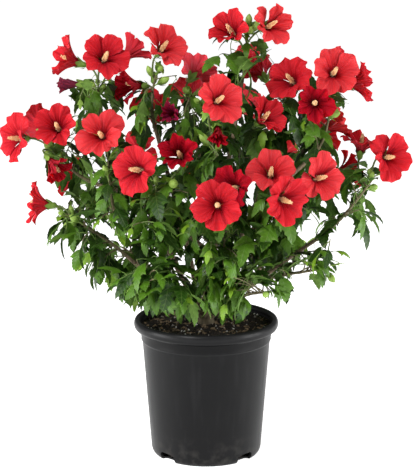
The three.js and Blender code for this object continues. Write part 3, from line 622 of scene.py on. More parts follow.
LEAF = {"spacing": 12, "length": (32, 62), "young": (18, 32), "stalk": 0.26, "tries": 7}
CROWDED = {"leader": 9, "stalk": 11}  # spacing of the leaves that stand under the blooms
BROWN_TWIG, GREEN_TWIG = 0, 1
STEMS = {  # radii at the root and the tip, sides of the mesh, and skin
    "leader": (2.7, 1.3, 8, BROWN_TWIG),
    "stalk": (1.3, 1.7, 7, GREEN_TWIG),
    "twig": (1.15, 0.75, 6, BROWN_TWIG),
    "fine": (0.8, 0.55, 5, GREEN_TWIG),
    "sprout": (0.8, 0.55, 5, GREEN_TWIG),
}
TWIGS_MORE = 2.2  # side twigs for each one that the shoot names
TWIG = {"length": 88, "shorter": (0.62, 1.1), "out": 0.86, "rise": 0.33, "fall": 0.35, "tries": 8}
FINE_TWIG = {"every": 30, "length": (20, 44), "fall": 0.15}
SPROUTS = {"every": 30, "length": (22, 42), "fall": 0.3}
SPROUTING = ("centre_front", "low_left", "low_right", "left_low", "right_low")
STALK = {"length": 32, "shares": (0.3, 0.45, 0.6, 0.75, 0.9)}
CALYX_LENGTH = 11
PETAL_LENGTH = 38
GOLDEN_ANGLE = math.pi * (3 - math.sqrt(5))
REACH = 84  # how far a shoot spreads from its own stem and blooms
OVERREACH = 10
SKIRT = 208  # lowest height of the bowl that the foliage keeps above
BOWL = {"leaf": (0, 520), "twig": (14, 400)}  # how far above the skirt each starts, and how wide it opens
# Gaps in the crown, open right through it along lines from where it is looked at: the place on the middle
# plane, across and up, and half the width and the height.
EYE = np.array([6.0, -2300.0, 828.0])
OPENINGS = [
    (231, 525, 26, 24), (-267, 463, 22, 18), (265, 406, 20, 18), (79, 253, 17, 15), (-8, 665, 15, 12),
    (148, 285, 14, 13), (-77, 587, 14, 10), (-129, 579, 10, 10), (-208, 543, 14, 8), (206, 334, 17, 11),
    (28, 482, 17, 8), (120, 482, 11, 8), (196, 460, 11, 7), (197, 390, 18, 10), (158, 353, 13, 11),
    (214, 357, 11, 16), (-155, 350, 10, 12), (-112, 323, 8, 7), (-121, 291, 6, 9), (-81, 267, 13, 6),
]
UNCOVERED = 0.85  # of a bloom's radius: leaves in front of it keep this far from its middle
UNCOVERED_TO = 60  # how far back the blooms are that leaves keep clear of
CLEAR_AHEAD = 46  # how far in front of any bloom nothing grows
LEAF_OVERHANG = 6  # how much further than a twig a leaf may reach


def heading_of(bearing, pitch):
    turn, up = math.radians(bearing), math.radians(pitch)
    return np.array([math.sin(turn) * math.cos(up), -math.cos(turn) * math.cos(up), math.sin(up)])


class Bloom:
    """One flower or bud of a shoot: where its cup and its throat are, and which way it looks."""

    def __init__(self, x, y, z, bearing, pitch, spread, tint="scarlet", size=1.0):
        self.size = size
        self.middle = np.array([x, y, z], float)
        self.heading = heading_of(bearing, pitch)
        self.spread = spread
        self.tint = tint
        depth = PETAL_LENGTH * math.cos(math.radians(spread)) if spread else 0
        self.throat = self.middle - self.heading * depth / 2
        self.radius = 30 if spread >= CUPPED else 22 if spread >= TRUMPET else 12

    def frame(self):
        across = unit(np.cross(UP, self.heading))
        return np.stack([across, np.cross(self.heading, across), self.heading])

    def outward(self, angle):
        """A direction square to its heading, so far round it."""
        across, over, _ = self.frame()
        return math.cos(angle) * across + math.sin(angle) * over

    def hides(self, point):
        """Whether a point is inside the cup or close in front of it."""
        offset = point - self.middle
        depth = np.dot(offset, self.heading)
        aside = np.linalg.norm(offset - depth * self.heading)
        return -0.5 * self.radius < depth < CLEAR_AHEAD and aside < self.radius - 0.1 * max(0, depth)


def turned_about(vector, axis, angle):
    axis = unit(axis)
    return (
        vector * math.cos(angle)
        + np.cross(axis, vector) * math.sin(angle)
        + axis * np.dot(axis, vector) * (1 - math.cos(angle))
    )


def side_of(heading, angle):
    """A direction square to a heading, so far round it."""
    flat = np.cross(heading, UP if abs(heading[2]) < 0.98 else (1, 0, 0))
    return turned_about(unit(flat), heading, angle)


def leader_line(shoot, bough):
    start = bough.at(1)
    return Line(start, start + bough.heading(1) * np.linalg.norm(shoot.tip - start) * 0.4, shoot.tip)


def side_line(carrier, share, side, length, fall):
    """A twig that stands out to one side, rises a little with its carrier and bows down at its end."""
    start, heading = carrier.at(share), carrier.heading(share)
    middle = start + side * length * 0.5 + heading * length * TWIG["rise"] * 0.8
    end = start + side * length * TWIG["out"] + heading * length * TWIG["rise"] - UP * length * fall
    return Line(start, middle, end)


def stalk_line(leader, bloom):
    calyx = bloom.throat - bloom.heading * CALYX_LENGTH
    share = min(STALK["shares"], key=lambda s: abs(np.linalg.norm(leader.at(s) - calyx) - STALK["length"]))
    start = leader.at(share)
    back = calyx - bloom.heading * np.linalg.norm(calyx - start) * 0.45
    return Line(start, back, calyx)


leaders = {name: leader_line(shoot, bough_lines[name]) for name, shoot in SHOOTS.items()}
blooms = {name: [Bloom(*values) for values in shoot.blooms] for name, shoot in SHOOTS.items()}
every_bloom = [bloom for group in blooms.values() for bloom in group]
site_owner, site_points = [], []  # a shoot's own space lies round these points of its stem and blooms
for name, leader in leaders.items():
    own = [leader.at(share) for share in (0.1, 0.5, 0.8, 1)] + [bloom.middle for bloom in blooms[name]]
    site_owner += [name] * len(own)
    site_points += own
site_owner, site_points = np.array(site_owner), np.array(site_points)


def seen_at(points):
    """Where points appear on the middle plane, looked at from EYE: across, and up."""
    nearness = EYE[1] / (EYE[1] - points[..., 1:2])
    return (EYE + (points - EYE) * nearness)[..., [0, 2]]


hidden = ("green", "pale")  # buds and the far blooms may stand behind leaves
shown_blooms = [bloom for bloom in every_bloom if bloom.middle[1] < UNCOVERED_TO and bloom.tint not in hidden]
shown_at = seen_at(np.array([bloom.middle for bloom in shown_blooms]))
shown_depth = np.array([bloom.middle[1] for bloom in shown_blooms])
shown_radius = np.array([bloom.radius for bloom in shown_blooms])


def in_own_space(name, point, reach=REACH):
    """Whether a point is within reach of this shoot's stem and blooms, and not far into another's space."""
    far = np.linalg.norm(site_points - point, axis=1)
    own, other = far[site_owner == name].min(), far[site_owner != name].min()
    return own < reach and own < other + OVERREACH


def open_to_grow(point, kind="leaf"):
    """Above the bowl under the crown, not in one of its gaps and not in front of a bloom."""
    across, up = seen_at(point)
    if any(math.hypot((across - x) / wide, (up - z) / high) < 1 for x, z, wide, high in OPENINGS):
        return False
    far = np.hypot(*(shown_at - (across, up)).T)
    if np.any((far < shown_radius * UNCOVERED) & (point[1] < shown_depth)):
        return False
    rise, opening = BOWL[kind]
    lowest = SKIRT + rise + (point[0] ** 2 + point[1] ** 2) / opening
    return point[2] > lowest and not any(bloom.hides(point) for bloom in every_bloom)


class Twig:
    """A stem that leaves can stand on: its line, shoot and kind, and the twig and share it grows from."""

    def __init__(self, line, shoot, kind, carrier=None):
        self.line, self.shoot, self.kind, self.carrier = line, shoot, kind, carrier
        self.last_leaf = 1.0 if kind in ("leader", "stalk") else 0.0

    def bear(self, share):
        """Something stands on it so far along, so it and what carries it are alive as far as there."""
        self.last_leaf = max(self.last_leaf, share)
        if self.carrier:
            self.carrier[0].bear(self.carrier[1])


twigs = []
for number, (name, shoot) in enumerate(SHOOTS.items()):
    chance = random.Random(100 + number)
    leader = leaders[name]
    twigs.append(Twig(leader, name, "leader"))
    twigs += [Twig(stalk_line(leader, bloom), name, "stalk") for bloom in blooms[name]]
    count = round(shoot.twigs * TWIGS_MORE)
    for index in range(count):
        share = 0.1 + 0.88 * (index + 0.5) / count
        for attempt in range(TWIG["tries"]):
            side = side_of(leader.heading(share), index * GOLDEN_ANGLE + chance.uniform(-0.9, 0.9) * attempt)
            length = TWIG["length"] * chance.uniform(*TWIG["shorter"]) * (1 - attempt / 16)
            line = side_line(leader, share, side, length, TWIG["fall"] * chance.random())
            clear = open_to_grow(line.at(1), "twig") and open_to_grow(line.at(0.6), "twig")
            if clear and in_own_space(name, line.at(1)):
                twigs.append(Twig(line, name, "twig"))
                break
for twig in [twig for twig in twigs if twig.kind == "twig"]:
    chance = random.Random(int(twig.line.length * 1000))
    for index in range(int(twig.line.length / FINE_TWIG["every"])):
        share = min(1, 0.3 + 0.62 * (index + chance.random()) * FINE_TWIG["every"] / twig.line.length)
        side = side_of(twig.line.heading(share), index * GOLDEN_ANGLE + chance.uniform(0, 6.3))
        line = side_line(twig.line, share, side, chance.uniform(*FINE_TWIG["length"]), FINE_TWIG["fall"])
        if in_own_space(twig.shoot, line.at(1)) and open_to_grow(line.at(1), "twig"):
            twigs.append(Twig(line, twig.shoot, "fine", (twig, share)))
for name in SPROUTING:
    bough = bough_lines[name]
    chance = random.Random(len(name) + int(bough.length))
    for index in range(int(bough.length / SPROUTS["every"])):
        share = min(0.98, 0.12 + (index + chance.random()) * SPROUTS["every"] / bough.length)
        side = side_of(bough.heading(share), index * GOLDEN_ANGLE + chance.uniform(0, 1))
        line = side_line(bough, share, side, chance.uniform(*SPROUTS["length"]), SPROUTS["fall"])
        if open_to_grow(line.at(1), "twig"):
            twigs.append(Twig(line, name, "sprout"))


class Leaf:
    """A leaf on its twig: the foot of its stalk, the way it points, its size and its hang."""

    def __init__(self, root, direction, length, roll, droop, young):
        self.root, self.length, self.droop, self.young = root, length, droop, young
        across = unit(np.cross(direction, UP))
        self.across = turned_about(across, direction, roll)
        self.direction = direction
        self.face = np.cross(self.across, direction)
        self.foot = root + direction * length * LEAF["stalk"]

    def spot(self, share):
        bend = self.droop * share
        forward, down = math.sin(bend) / self.droop, (1 - math.cos(bend)) / self.droop
        return self.foot + self.length * (forward * self.direction - down * self.face)

    def reaches(self):
        """Its foot, its middle and tip, and the tips of its side lobes."""
        lobe = self.across * self.length * 0.36
        return [self.spot(0), self.spot(0.5), self.spot(1), self.spot(0.5) + lobe, self.spot(0.5) - lobe]


leaves = []
for number, twig in enumerate(twigs):
    chance = random.Random(900 + number)
    line = twig.line
    count = max(1, int(line.length / CROWDED.get(twig.kind, LEAF["spacing"])))
    spin = chance.uniform(0, 6.3)
    for index in range(count + 1):
        at_tip = index == count
        if at_tip and twig.kind == "stalk":
            continue
        share = 1.0 if at_tip else 0.16 + 0.8 * (index + 0.5) / count
        young = (at_tip and twig.kind != "sprout") or (twig.kind in ("fine", "stalk") and share > 0.8)
        if chance.random() > SHOOTS[twig.shoot].leafy + (0.2 if twig.kind in CROWDED else 0):
            continue
        for attempt in range(LEAF["tries"]):
            heading = line.heading(share)
            out = side_of(heading, spin + index * GOLDEN_ANGLE + attempt * chance.uniform(-1, 1))
            along = chance.uniform(1.2, 2.4) if at_tip else 0.35
            hang = chance.uniform(0.1, 0.6) if young else chance.uniform(0.35, 1.1)
            direction = unit(out + heading * along - UP * hang)
            length = chance.uniform(*LEAF["young" if young else "length"]) * (1 - 0.05 * attempt)
            roll, droop = chance.uniform(-0.5, 0.5), chance.uniform(0.5, 1.4)
            leaf = Leaf(line.at(share), direction, length, roll, droop, young)
            if twig.kind != "sprout" and not in_own_space(twig.shoot, leaf.spot(1), REACH + LEAF_OVERHANG):
                continue
            if all(open_to_grow(spot) for spot in leaf.reaches()):
                leaves.append(leaf)
                twig.bear(share)
                break
thin_wood = Bundle()
for number, twig in enumerate(twigs):
    if not twig.last_leaf:
        continue
    root, tip, sides, skin = STEMS[twig.kind]
    rows = max(4, int(twig.line.length / 5))
    path = twig.line.evenly(rows)[: max(3, math.ceil(twig.last_leaf * (rows - 1)) + 1)]
    rows = len(path)
    wander = np.array([noise.noise_vector((row * 0.35, number * 3.7, 5)) for row in range(rows)])
    path += wander * 0.8 * np.sin(np.linspace(0, math.pi, rows))[:, None]
    radii = np.linspace(root, tip, rows)
    if twig.kind != "stalk":
        radii[::3] *= 1.16  # joints that the leaves stand on
    radii[0] *= 1.3
    thin_wood.add(*tube(path, radii, sides), finish=skin)
twig_bark = bark_finish("young_brown_bark", (0.10, 0.095, 0.035), (0.155, 0.125, 0.06), (0.05, 0.04, 0.02))
green_bark = bark_finish("green_shoot_skin", (0.09, 0.16, 0.035), (0.15, 0.17, 0.06), (0.06, 0.08, 0.025))
twig_piece = thin_wood.piece("twigs_and_stalks", [twig_bark, green_bark])
foliage_nodes = ["foliage_" + name for name in SHOOTS]
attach(twig_piece, "root")
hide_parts(*foliage_nodes)


# ---- Leaves ----
# Three-lobed, coarsely toothed blades on short stalks. They are folded a little along the midrib, arch
# over and hang, glossy deep green above and paler and matt beneath. Young ones at the tips are lighter.
# Leaves deep inside the crown get darker greens, as painted shade, and those further out lighter ones, as
# painted light.

LEAF_LIFT = 0.35  # thickness of a blade at its midrib
LEAF_STALK = {"radii": [0.75, 0.55, 0.5], "sides": 4}
BLADE_SHARES = (-1, -0.5, 0, 0.5, 1)  # the lines along a blade, from its left edge to its right
# Half of a blade's outline: across and along, in shares of its length, from its foot to its tip.
BLADE_HALF = np.array([
    (0.015, 0.0), (0.10, 0.04), (0.20, 0.11), (0.245, 0.19), (0.325, 0.27), (0.345, 0.36), (0.43, 0.49),
    (0.29, 0.48), (0.205, 0.52), (0.235, 0.595), (0.19, 0.645), (0.20, 0.72), (0.14, 0.77), (0.128, 0.85),
    (0.06, 0.915), (0.0, 1.0),
])
LEAF_TINTS = {  # upper face, lower face, from painted shade inside the crown to painted light further out; young tips are lighter of their own
    "leaf_deep": ((0.012, 0.042, 0.002), (0.042, 0.095, 0.015)),
    "leaf_green": ((0.055, 0.137, 0.007), (0.10, 0.18, 0.036)),
    "leaf_bright": ((0.131, 0.246, 0.013), (0.16, 0.25, 0.045)),
    "leaf_young": ((0.23, 0.36, 0.030), (0.25, 0.36, 0.075)),
}


def grid_faces(rows, columns):
    row, column = np.meshgrid(np.arange(rows - 1), np.arange(columns - 1), indexing="ij")
    first = (row * columns + column).ravel()
    return np.stack([first, first + 1, first + columns + 1, first + columns], 1)


def blade_template():
    """Points as shares of the length, from the midrib out on both sides, and the faces between them."""
    rows = len(BLADE_HALF)
    midrib = np.clip(BLADE_HALF[:, 1] - 0.42 * BLADE_HALF[:, 0], 0, 1)
    points, sides = [], []
    for share in BLADE_SHARES:
        across = BLADE_HALF[:, 0] * share
        along = midrib + (BLADE_HALF[:, 1] - midrib) * abs(share) ** 1.2
        points.append(np.stack([across, along], 1))
        sides.append(np.full(rows, share))
    faces = grid_faces(len(BLADE_SHARES), rows)[:, TURNED_OVER]
    return np.concatenate(points), np.concatenate(sides), faces


BLADE, BLADE_ACROSS, BLADE_FACES = blade_template()


def blade_points(length, width, droop, fold, wave, phase):
    """The blade bent down along its length, folded up along its midrib and waved along its edges."""
    across, along = BLADE[:, 0] * width, BLADE[:, 1]
    bend = droop * along
    forward = np.sin(bend) / droop
    down = (1 - np.cos(bend)) / droop
    rise = fold * np.abs(across) - 1.1 * across**2
    rise += wave * np.sin(9 * along + 4 * np.sign(across) + phase) * np.abs(across)
    rise += 0.004 * np.cos(34 * along) * np.abs(np.sin(np.pi * BLADE_ACROSS))
    return length * np.stack([across, forward + rise * np.sin(bend), rise * np.cos(bend) - down], 1)


def grow_blade(leaf, bundle, upper, lower, chance):
    points = blade_points(
        leaf.length, chance.uniform(0.6, 0.9), leaf.droop,
        chance.uniform(0.05, 0.4), chance.uniform(0.0, 0.06), chance.uniform(0, 6.3),
    )
    axes = np.stack([leaf.across, leaf.direction, leaf.face])
    top = leaf.foot + points @ axes
    under = top - leaf.face * LEAF_LIFT * (1 - BLADE_ACROSS[:, None] ** 2)
    bundle.add(top, BLADE_FACES, upper, BLADE)
    bundle.add(under, BLADE_FACES[:, ::-1], lower, BLADE)
    path = [leaf.root, (leaf.root + leaf.foot) / 2 + UP * leaf.length * 0.02, leaf.foot + leaf.direction]
    bundle.add(*tube(path, **LEAF_STALK), finish=lower)


def scaled(colour, share):
    return tuple(share * value for value in colour)


def leaf_finish(name, colour, matt):
    """Veins run from the midrib to the teeth: sunk and pale above, raised beneath."""
    material, wire = new_finish(name)
    across, along, _ = wire.places("UV").axes()
    across = wire.maths("ABSOLUTE", across)
    midrib = 1 - across.between(0.0, 0.014)
    ribs = wire.maths("SINE", (along - 0.75 * across) * 46)
    veins = ribs.between(0.86, 1.0)
    mottle = wire.grain(120, 4)
    lines_in = (midrib + veins * 0.55).between(0, 1)
    pale = tuple(0.5 * value + 0.5 * hint for value, hint in zip(colour, (0.2, 0.3, 0.08)))
    base = mottle.between(0.3, 0.7).blend(scaled(colour, 0.72), scaled(colour, 1.15))
    base = (lines_in * 0.5).blend(base, pale)
    quilt = wire.grain(420, 3) * 0.5 + ribs * 0.5 - lines_in
    roughness = (0.62 if matt else 0.32) + 0.16 * mottle
    wire.surface(
        Base_Color=base, Roughness=roughness, Normal=wire.bump(quilt, 0.0003, 0.5),
        Specular_IOR_Level=0.06 if matt else 0.24,
    )
    return material


leaf_materials = []
for tint, (upper, lower) in LEAF_TINTS.items():
    leaf_materials += [leaf_finish(tint + "_upper", upper, False), leaf_finish(tint + "_lower", lower, True)]
leaf_groups = {"left": Bundle(), "right": Bundle(), "back": Bundle()}
crown_middle, crown_half = (0, 20, 430), (300, 240, 240)
for leaf in leaves:
    chance = random.Random(int(leaf.length * 1e6) % 1000003)
    # the further a leaf stands from the crown's middle, the lighter its green: painted light and shade, with
    # a random spread of tone
    outward = np.linalg.norm((leaf.spot(0.6) - crown_middle) / crown_half)
    tint = int(1.2 * outward + chance.uniform(-0.55, 0.85) + (0.9 if leaf.young else 0))
    upper = 2 * min(len(LEAF_TINTS) - 1, max(0, tint))
    side = "back" if leaf.root[1] > 20 else "left" if leaf.root[0] < 20 else "right"
    grow_blade(leaf, leaf_groups[side], upper, upper + 1, chance)
for side, bundle in leaf_groups.items():
    leaf_piece = bundle.piece("leaves_" + side, leaf_materials)
    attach(leaf_piece, "root")
    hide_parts(*foliage_nodes)


# ---- Blooms ----
# Five broad crinkled petals that overlap in turn, joined at the foot to a cream column thick with anthers.
# Each stands in a green calyx of five sepals with a ring of narrow bracts under it.

PETALS = 5
PETAL = {
    "rows": 14, "columns": 14, "length": 47.5, "half_angle": 45.5, "overlap": 2.2, "ruffle": 4.4, "foot": 2.4,
}
PETAL_LIFT = 0.45  # thickness of a petal near its foot
FURLED_SHAPE = {"wrap": 1.45, "size": 0.82, "twist": 0.9}  # how far its petals wrap, shrink and twist
PETAL_TINTS = {  # rim, middle, back, and how far the dark eye reaches; the darker middle is painted shade in the cup
    "scarlet": ((0.48, 0.016, 0.024), (0.27, 0.001, 0.007), (0.52, 0.024, 0.038), 0.42),
    "bright": ((0.57, 0.038, 0.044), (0.38, 0.003, 0.010), (0.60, 0.042, 0.055), 0.38),
    "deep": ((0.31, 0.002, 0.010), (0.14, 0.0006, 0.005), (0.32, 0.012, 0.022), 0.66),
    # pale: a lighter red for the blooms that face away, painted light that stands for light glowing through
    # their petals
    "pale": ((0.66, 0.045, 0.06), (0.54, 0.018, 0.03), (0.80, 0.062, 0.088), 0.3),
    "wilted": ((0.20, 0.008, 0.035), (0.14, 0.004, 0.025), (0.26, 0.02, 0.05), 0.4),
    "purple": ((0.13, 0.008, 0.03), (0.10, 0.006, 0.025), (0.17, 0.02, 0.045), 0.4),
}
THROAT_RED = (0.09, 0.0008, 0.004)
THROAT_SHARE = 0.16  # of a petal's length, from its foot


def strip_profile(leans, length):
    """How far out and up a strip reaches, from its lean at each of its even steps."""
    step = length / len(leans)
    out = np.concatenate([[0], np.cumsum(np.sin(leans))[:-1]]) * step
    up = np.concatenate([[0], np.cumsum(np.cos(leans))[:-1]]) * step
    return out, up


def petal_points(bloom, turn, chance, half_angle, lift=0.0):
    """One petal in its bloom's own axes, which has the throat at the origin and the heading along Z."""
    rows, columns = PETAL["rows"], PETAL["columns"]
    share = np.linspace(0, 1, rows)[:, None]
    across = np.linspace(-1, 1, columns)[None, :]
    length = PETAL["length"] * chance.uniform(0.93, 1.05)
    jag = 0.02 * np.sin(13 * across + chance.uniform(0, 6.3))
    reach = share * (1 - 0.32 * np.abs(across) ** 2.5 - 0.03 * np.exp(-((across / 0.16) ** 2)) + jag)
    lean = math.radians(bloom.spread * chance.uniform(0.68, 1.1))
    steps = np.linspace(0, 1, 40)
    out, up = strip_profile(lean * (0.42 + 0.95 * steps), length)
    radius = PETAL["foot"] + np.interp(reach, steps, out)
    height = np.interp(reach, steps, up)
    slope = lean * (0.42 + 0.95 * reach)
    phase = chance.uniform(0, 6.3)
    crinkle = PETAL["ruffle"] * reach**3 * np.sin(7.5 * across + phase)
    crinkle = crinkle + 0.8 * reach**2 * np.sin(17 * across + 6 * reach + 2 * phase)
    curl = -chance.uniform(-2.0, 8.0) * reach**4 - chance.uniform(-5.0, 6.0) * across**2 * reach**1.5
    tilt = PETAL["overlap"] * across * np.sqrt(reach)
    furrow = -1.8 * np.exp(-((across / 0.22) ** 2)) * reach
    off = crinkle + curl + tilt + furrow - lift
    angle = turn + math.radians(half_angle) * across * (0.75 + 0.25 * share)
    angle = angle + (FURLED_SHAPE["twist"] * reach if bloom.spread == FURLED else 0)
    radius = radius - off * np.cos(slope)
    height = height + off * np.sin(slope)
    points = np.stack([radius * np.cos(angle), radius * np.sin(angle), height], -1).reshape(-1, 3)
    marks = np.stack(np.broadcast_arrays(across, reach), -1).reshape(-1, 2)
    return points, marks


PETAL_FACES = grid_faces(PETAL["rows"], PETAL["columns"])
THROAT_FACES = (PETAL["columns"] - 1) * round(THROAT_SHARE * (PETAL["rows"] - 1))


def grow_petals(bundle, bloom, finishes, chance):
    frame, start = bloom.frame(), chance.uniform(0, 6.3)
    half_angle, scale = PETAL["half_angle"], bloom.size
    if bloom.spread == FURLED:
        half_angle, scale = half_angle * FURLED_SHAPE["wrap"], scale * FURLED_SHAPE["size"]
    for petal in range(PETALS):
        turn = start + petal * 2 * math.pi / PETALS + chance.uniform(-0.06, 0.06)
        seed = chance.random()
        upper, marks = petal_points(bloom, turn, random.Random(seed), half_angle)
        lower, _ = petal_points(bloom, turn, random.Random(seed), half_angle, PETAL_LIFT)
        rim = (marks[:, 1] > 0.999 * marks[:, 1].max()) | (np.abs(marks[:, 0]) > 0.999)
        lower[rim] = upper[rim]
        front, back = finishes
        for points, faces, foot, blade in (
            (upper, PETAL_FACES, THROAT, front),
            (lower, PETAL_FACES[:, ::-1], back, back),
        ):
            placed = bloom.throat + scale * points @ frame
            bundle.add(placed, faces[:THROAT_FACES], foot, marks)
            bundle.add(placed, faces[THROAT_FACES:], blade, marks)


def petal_finish(name, rim, middle, eye, satin):
    """Darker toward the throat: a dark eye and painted shade in the cup, lightening to the rim; fine veins
    fan out, a crepe-like grain, painted shade in pleats.
    """
    material, wire = new_finish(name)
    across, along, _ = wire.places("UV").axes()
    veins = wire.maths("SINE", across * 62 + 1.4 * wire.grain(160, 2))
    pleats = wire.maths("SINE", across * 17 + 2.5 * wire.grain(70, 2))
    grain = wire.grain(520, 4)
    cloud = wire.grain(48, 3)
    # from painted shade in the middle of the cup out to the lighter rim, with random clouds in it
    cup_shade_ramp = (along + 0.5 * cloud - 0.25).between(0.14, 0.92)
    colour = cup_shade_ramp.blend(middle, rim)
    colour = ((1 - (along + 0.08 * veins).between(0.08, eye)) * 0.9).blend(colour, THROAT_RED)
    colour = (veins.between(0.55, 1.0) * (1 - 0.75 * along) * 0.5).blend(colour, scaled(middle, 0.6))
    colour = (grain.between(0.45, 0.75) * 0.16).blend(colour, tuple(min(1, 1.12 * c + 0.02) for c in rim))
    # darker stripes along the pleats: painted shade in their folds
    colour = (pleats.between(0.0, 1.0) * (1 - 0.5 * along) * 0.17).blend(colour, scaled(middle, 0.55))
    relief = veins * 0.3 + grain * 0.6 + pleats
    wire.surface(
        Base_Color=colour, Roughness=satin + 0.12 * grain, Normal=wire.bump(relief, 0.001, 0.6),
        Specular_IOR_Level=0.04,
        Subsurface_Weight=0.6, Subsurface_Radius=(1.0, 0.25, 0.2), Subsurface_Scale=0.002,
    )
    return material


def throat_finish(name):
    material, wire = new_finish(name)
    across, along, _ = wire.places("UV").axes()
    veins = wire.maths("SINE", across * 40).between(0.2, 1.0)
    colour = (along.between(0.05, 0.24) * (1 - 0.5 * veins)).blend(THROAT_RED, (0.36, 0.003, 0.010))
    wire.surface(Base_Color=colour, Roughness=0.6 + 0.1 * veins, Normal=wire.bump(veins, 0.0004, 0.6))
    return material


THROAT = 0  # the place of its finish among those of the petals
petal_materials = [throat_finish("petal_throat_crimson")]
petal_slots = {}
for tint, (rim, middle, back, eye) in PETAL_TINTS.items():
    petal_slots[tint] = (len(petal_materials), len(petal_materials) + 1)
    petal_materials.append(petal_finish("petal_" + tint, rim, middle, eye, 0.5))
    petal_materials.append(petal_finish("petal_back_" + tint, back, scaled(back, 0.8), 0.2, 0.56))
petals = Bundle()
for number, bloom in enumerate(every_bloom):
    if bloom.spread:
        grow_petals(petals, bloom, petal_slots[bloom.tint], random.Random(300 + number))
petal_piece = petals.piece("petals", petal_materials)
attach(petal_piece, "root")
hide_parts(*foliage_nodes)


# ---- Columns ----
# The column of stamens that stands out of each throat: cream, thickly set with peach anthers, and
# ended by five small stigmas.

COLUMN = {"length": 30, "root": 2.3, "tip": 1.4, "rings": 9, "sides": 8, "stigmas": 5}
ANTHERS = {"count": 84, "first": 0.3, "last": 0.94, "spread": (3.3, 2.1), "size": (0.85, 1.25)}


def pollen_finish(name, pale, warm):
    material, wire = new_finish(name)
    grain = wire.grain(900, 3)
    colour = grain.between(0.35, 0.65).blend(warm, pale)
    wire.surface(Base_Color=colour, Roughness=0.7 + 0.15 * grain, Normal=wire.bump(grain, 0.0004))
    return material


def bead(centre, half, stretch, chance):
    spin = Matrix.Rotation(chance.uniform(0, 6.3), 3, "Z") @ Matrix.Rotation(chance.uniform(0, 3), 3, "X")
    return centre + (OCTAHEDRON * half * np.array([1, 1, stretch])) @ np.array(spin)


columns = Bundle()
for number, bloom in enumerate(every_bloom):
    if bloom.spread < TRUMPET or bloom.tint == "wilted":
        continue
    chance = random.Random(500 + number)
    shares = np.linspace(0, 1, COLUMN["rings"])
    bow = chance.uniform(0.5, 2.5)
    bowed = np.stack([0 * shares, bow * shares**2, COLUMN["length"] * shares], 1)
    path = bowed @ bloom.frame() + bloom.throat
    columns.add(*tube(path, np.linspace(COLUMN["root"], COLUMN["tip"], COLUMN["rings"]), COLUMN["sides"]))
    for anther in range(ANTHERS["count"]):
        done = anther / ANTHERS["count"]
        share = ANTHERS["first"] + (ANTHERS["last"] - ANTHERS["first"]) * done
        centre = np.array([np.interp(share, shares, axis) for axis in path.T])
        far = np.interp(done, (0, 1), ANTHERS["spread"]) * chance.uniform(0.75, 1.15)
        centre = centre + bloom.outward(anther * GOLDEN_ANGLE) * far
        columns.add(bead(centre, chance.uniform(*ANTHERS["size"]), 1.3, chance), OCTAHEDRON_FACES, 1)
    for stigma in range(COLUMN["stigmas"]):
        out = bloom.outward(stigma * 2 * math.pi / COLUMN["stigmas"])
        tip = path[-1] + out * 1.6 + bloom.heading * 1.4
        columns.add(*tube([path[-1], (path[-1] + tip) / 2 + out * 0.3, tip], [0.4, 0.35, 0.4], 5))
        columns.add(bead(tip, 0.8, 1.0, chance), OCTAHEDRON_FACES)
pollen = [
    pollen_finish("column_cream", (0.82, 0.62, 0.38), (0.74, 0.42, 0.20)),
    pollen_finish("anther_peach", (0.90, 0.66, 0.36), (0.78, 0.40, 0.16)),
]
column_piece = columns.piece("stamen_columns", pollen, smooth_to=60)
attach(column_piece, "root")
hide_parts(*foliage_nodes)


# ---- Calyces and buds ----
# The green cup that holds each bloom, and the shut buds: an egg of five sepals that meet at their tips,
# in a ring of bracts.

CALYX_CUP = [(0.2, -11.5), (1.9, -11), (2.5, -8), (4.4, -5), (5.5, -1), (5.2, 3)]  # radius and height
CALYX_SIDES = 15
SEPAL = {"count": 5, "width": 4.2, "length": 15, "foot": (5.0, -1.5)}
BLOOM_BRACTS = {"count": 7, "width": 1.2, "length": 12, "lean": (42, 62)}
BUD_BRACTS = {"count": 10, "width": 1.6, "length": 17, "lean": (24, 56)}
BRACT_FOOT = (2.9, -9)
BUD_SHAPE = {"length": 19, "half_width": 6.6}
# The small buds at the end of each shoot: the one named stands crowded, the others spaced down its stem.
CLUSTER = {"buds": (4, 6), "size": (0.5, 0.95), "stalk": (4, 10), "apart": 0.07}
CROWDED_TIP = {"shoot": "top", "buds": 9}


def sepal_points(width, length, foot, lean, curve, rows=7):
    """A pointed blade that starts at a radius and height and leans out, in its own upright plane."""
    share = np.linspace(0, 1, rows)
    half = width * np.sin(np.pi * np.clip(0.28 + 0.72 * share, 0, 1)) ** 0.8
    half[-1] = 0.05
    out, up = strip_profile(np.radians(lean + curve * share), length)
    out, up = foot[0] + out, foot[1] + up
    edges = [np.stack([out - 0.16 * half * abs(side), half * side, up], 1) for side in (-1, 0, 1)]
    return np.stack(edges, 1).reshape(-1, 3), grid_faces(rows, 3)


def grow_calyx(bundle, bloom, finish, chance):
    axes = bloom.frame()

    def add(points, faces, angle=0.0):
        spun = points @ np.array(Matrix.Rotation(angle, 3, "Z")).T
        bundle.add(bloom.size * spun @ axes + bloom.throat, faces, finish)

    add(*turned(CALYX_CUP, CALYX_SIDES))
    lean, curve = (8 + 0.35 * bloom.spread, 8) if bloom.spread else (-2, -34)
    for sepal in range(SEPAL["count"]):
        blade = sepal_points(SEPAL["width"], SEPAL["length"], SEPAL["foot"], lean, curve)
        add(*blade, sepal * 2 * math.pi / SEPAL["count"])
    bracts = BLOOM_BRACTS if bloom.spread else BUD_BRACTS
    for bract in range(bracts["count"]):
        lean = chance.uniform(*bracts["lean"])
        length = bracts["length"] * chance.uniform(0.85, 1.1)
        blade = sepal_points(bracts["width"], length, BRACT_FOOT, lean, -30, rows=5)
        add(*blade, bract * 2 * math.pi / bracts["count"])


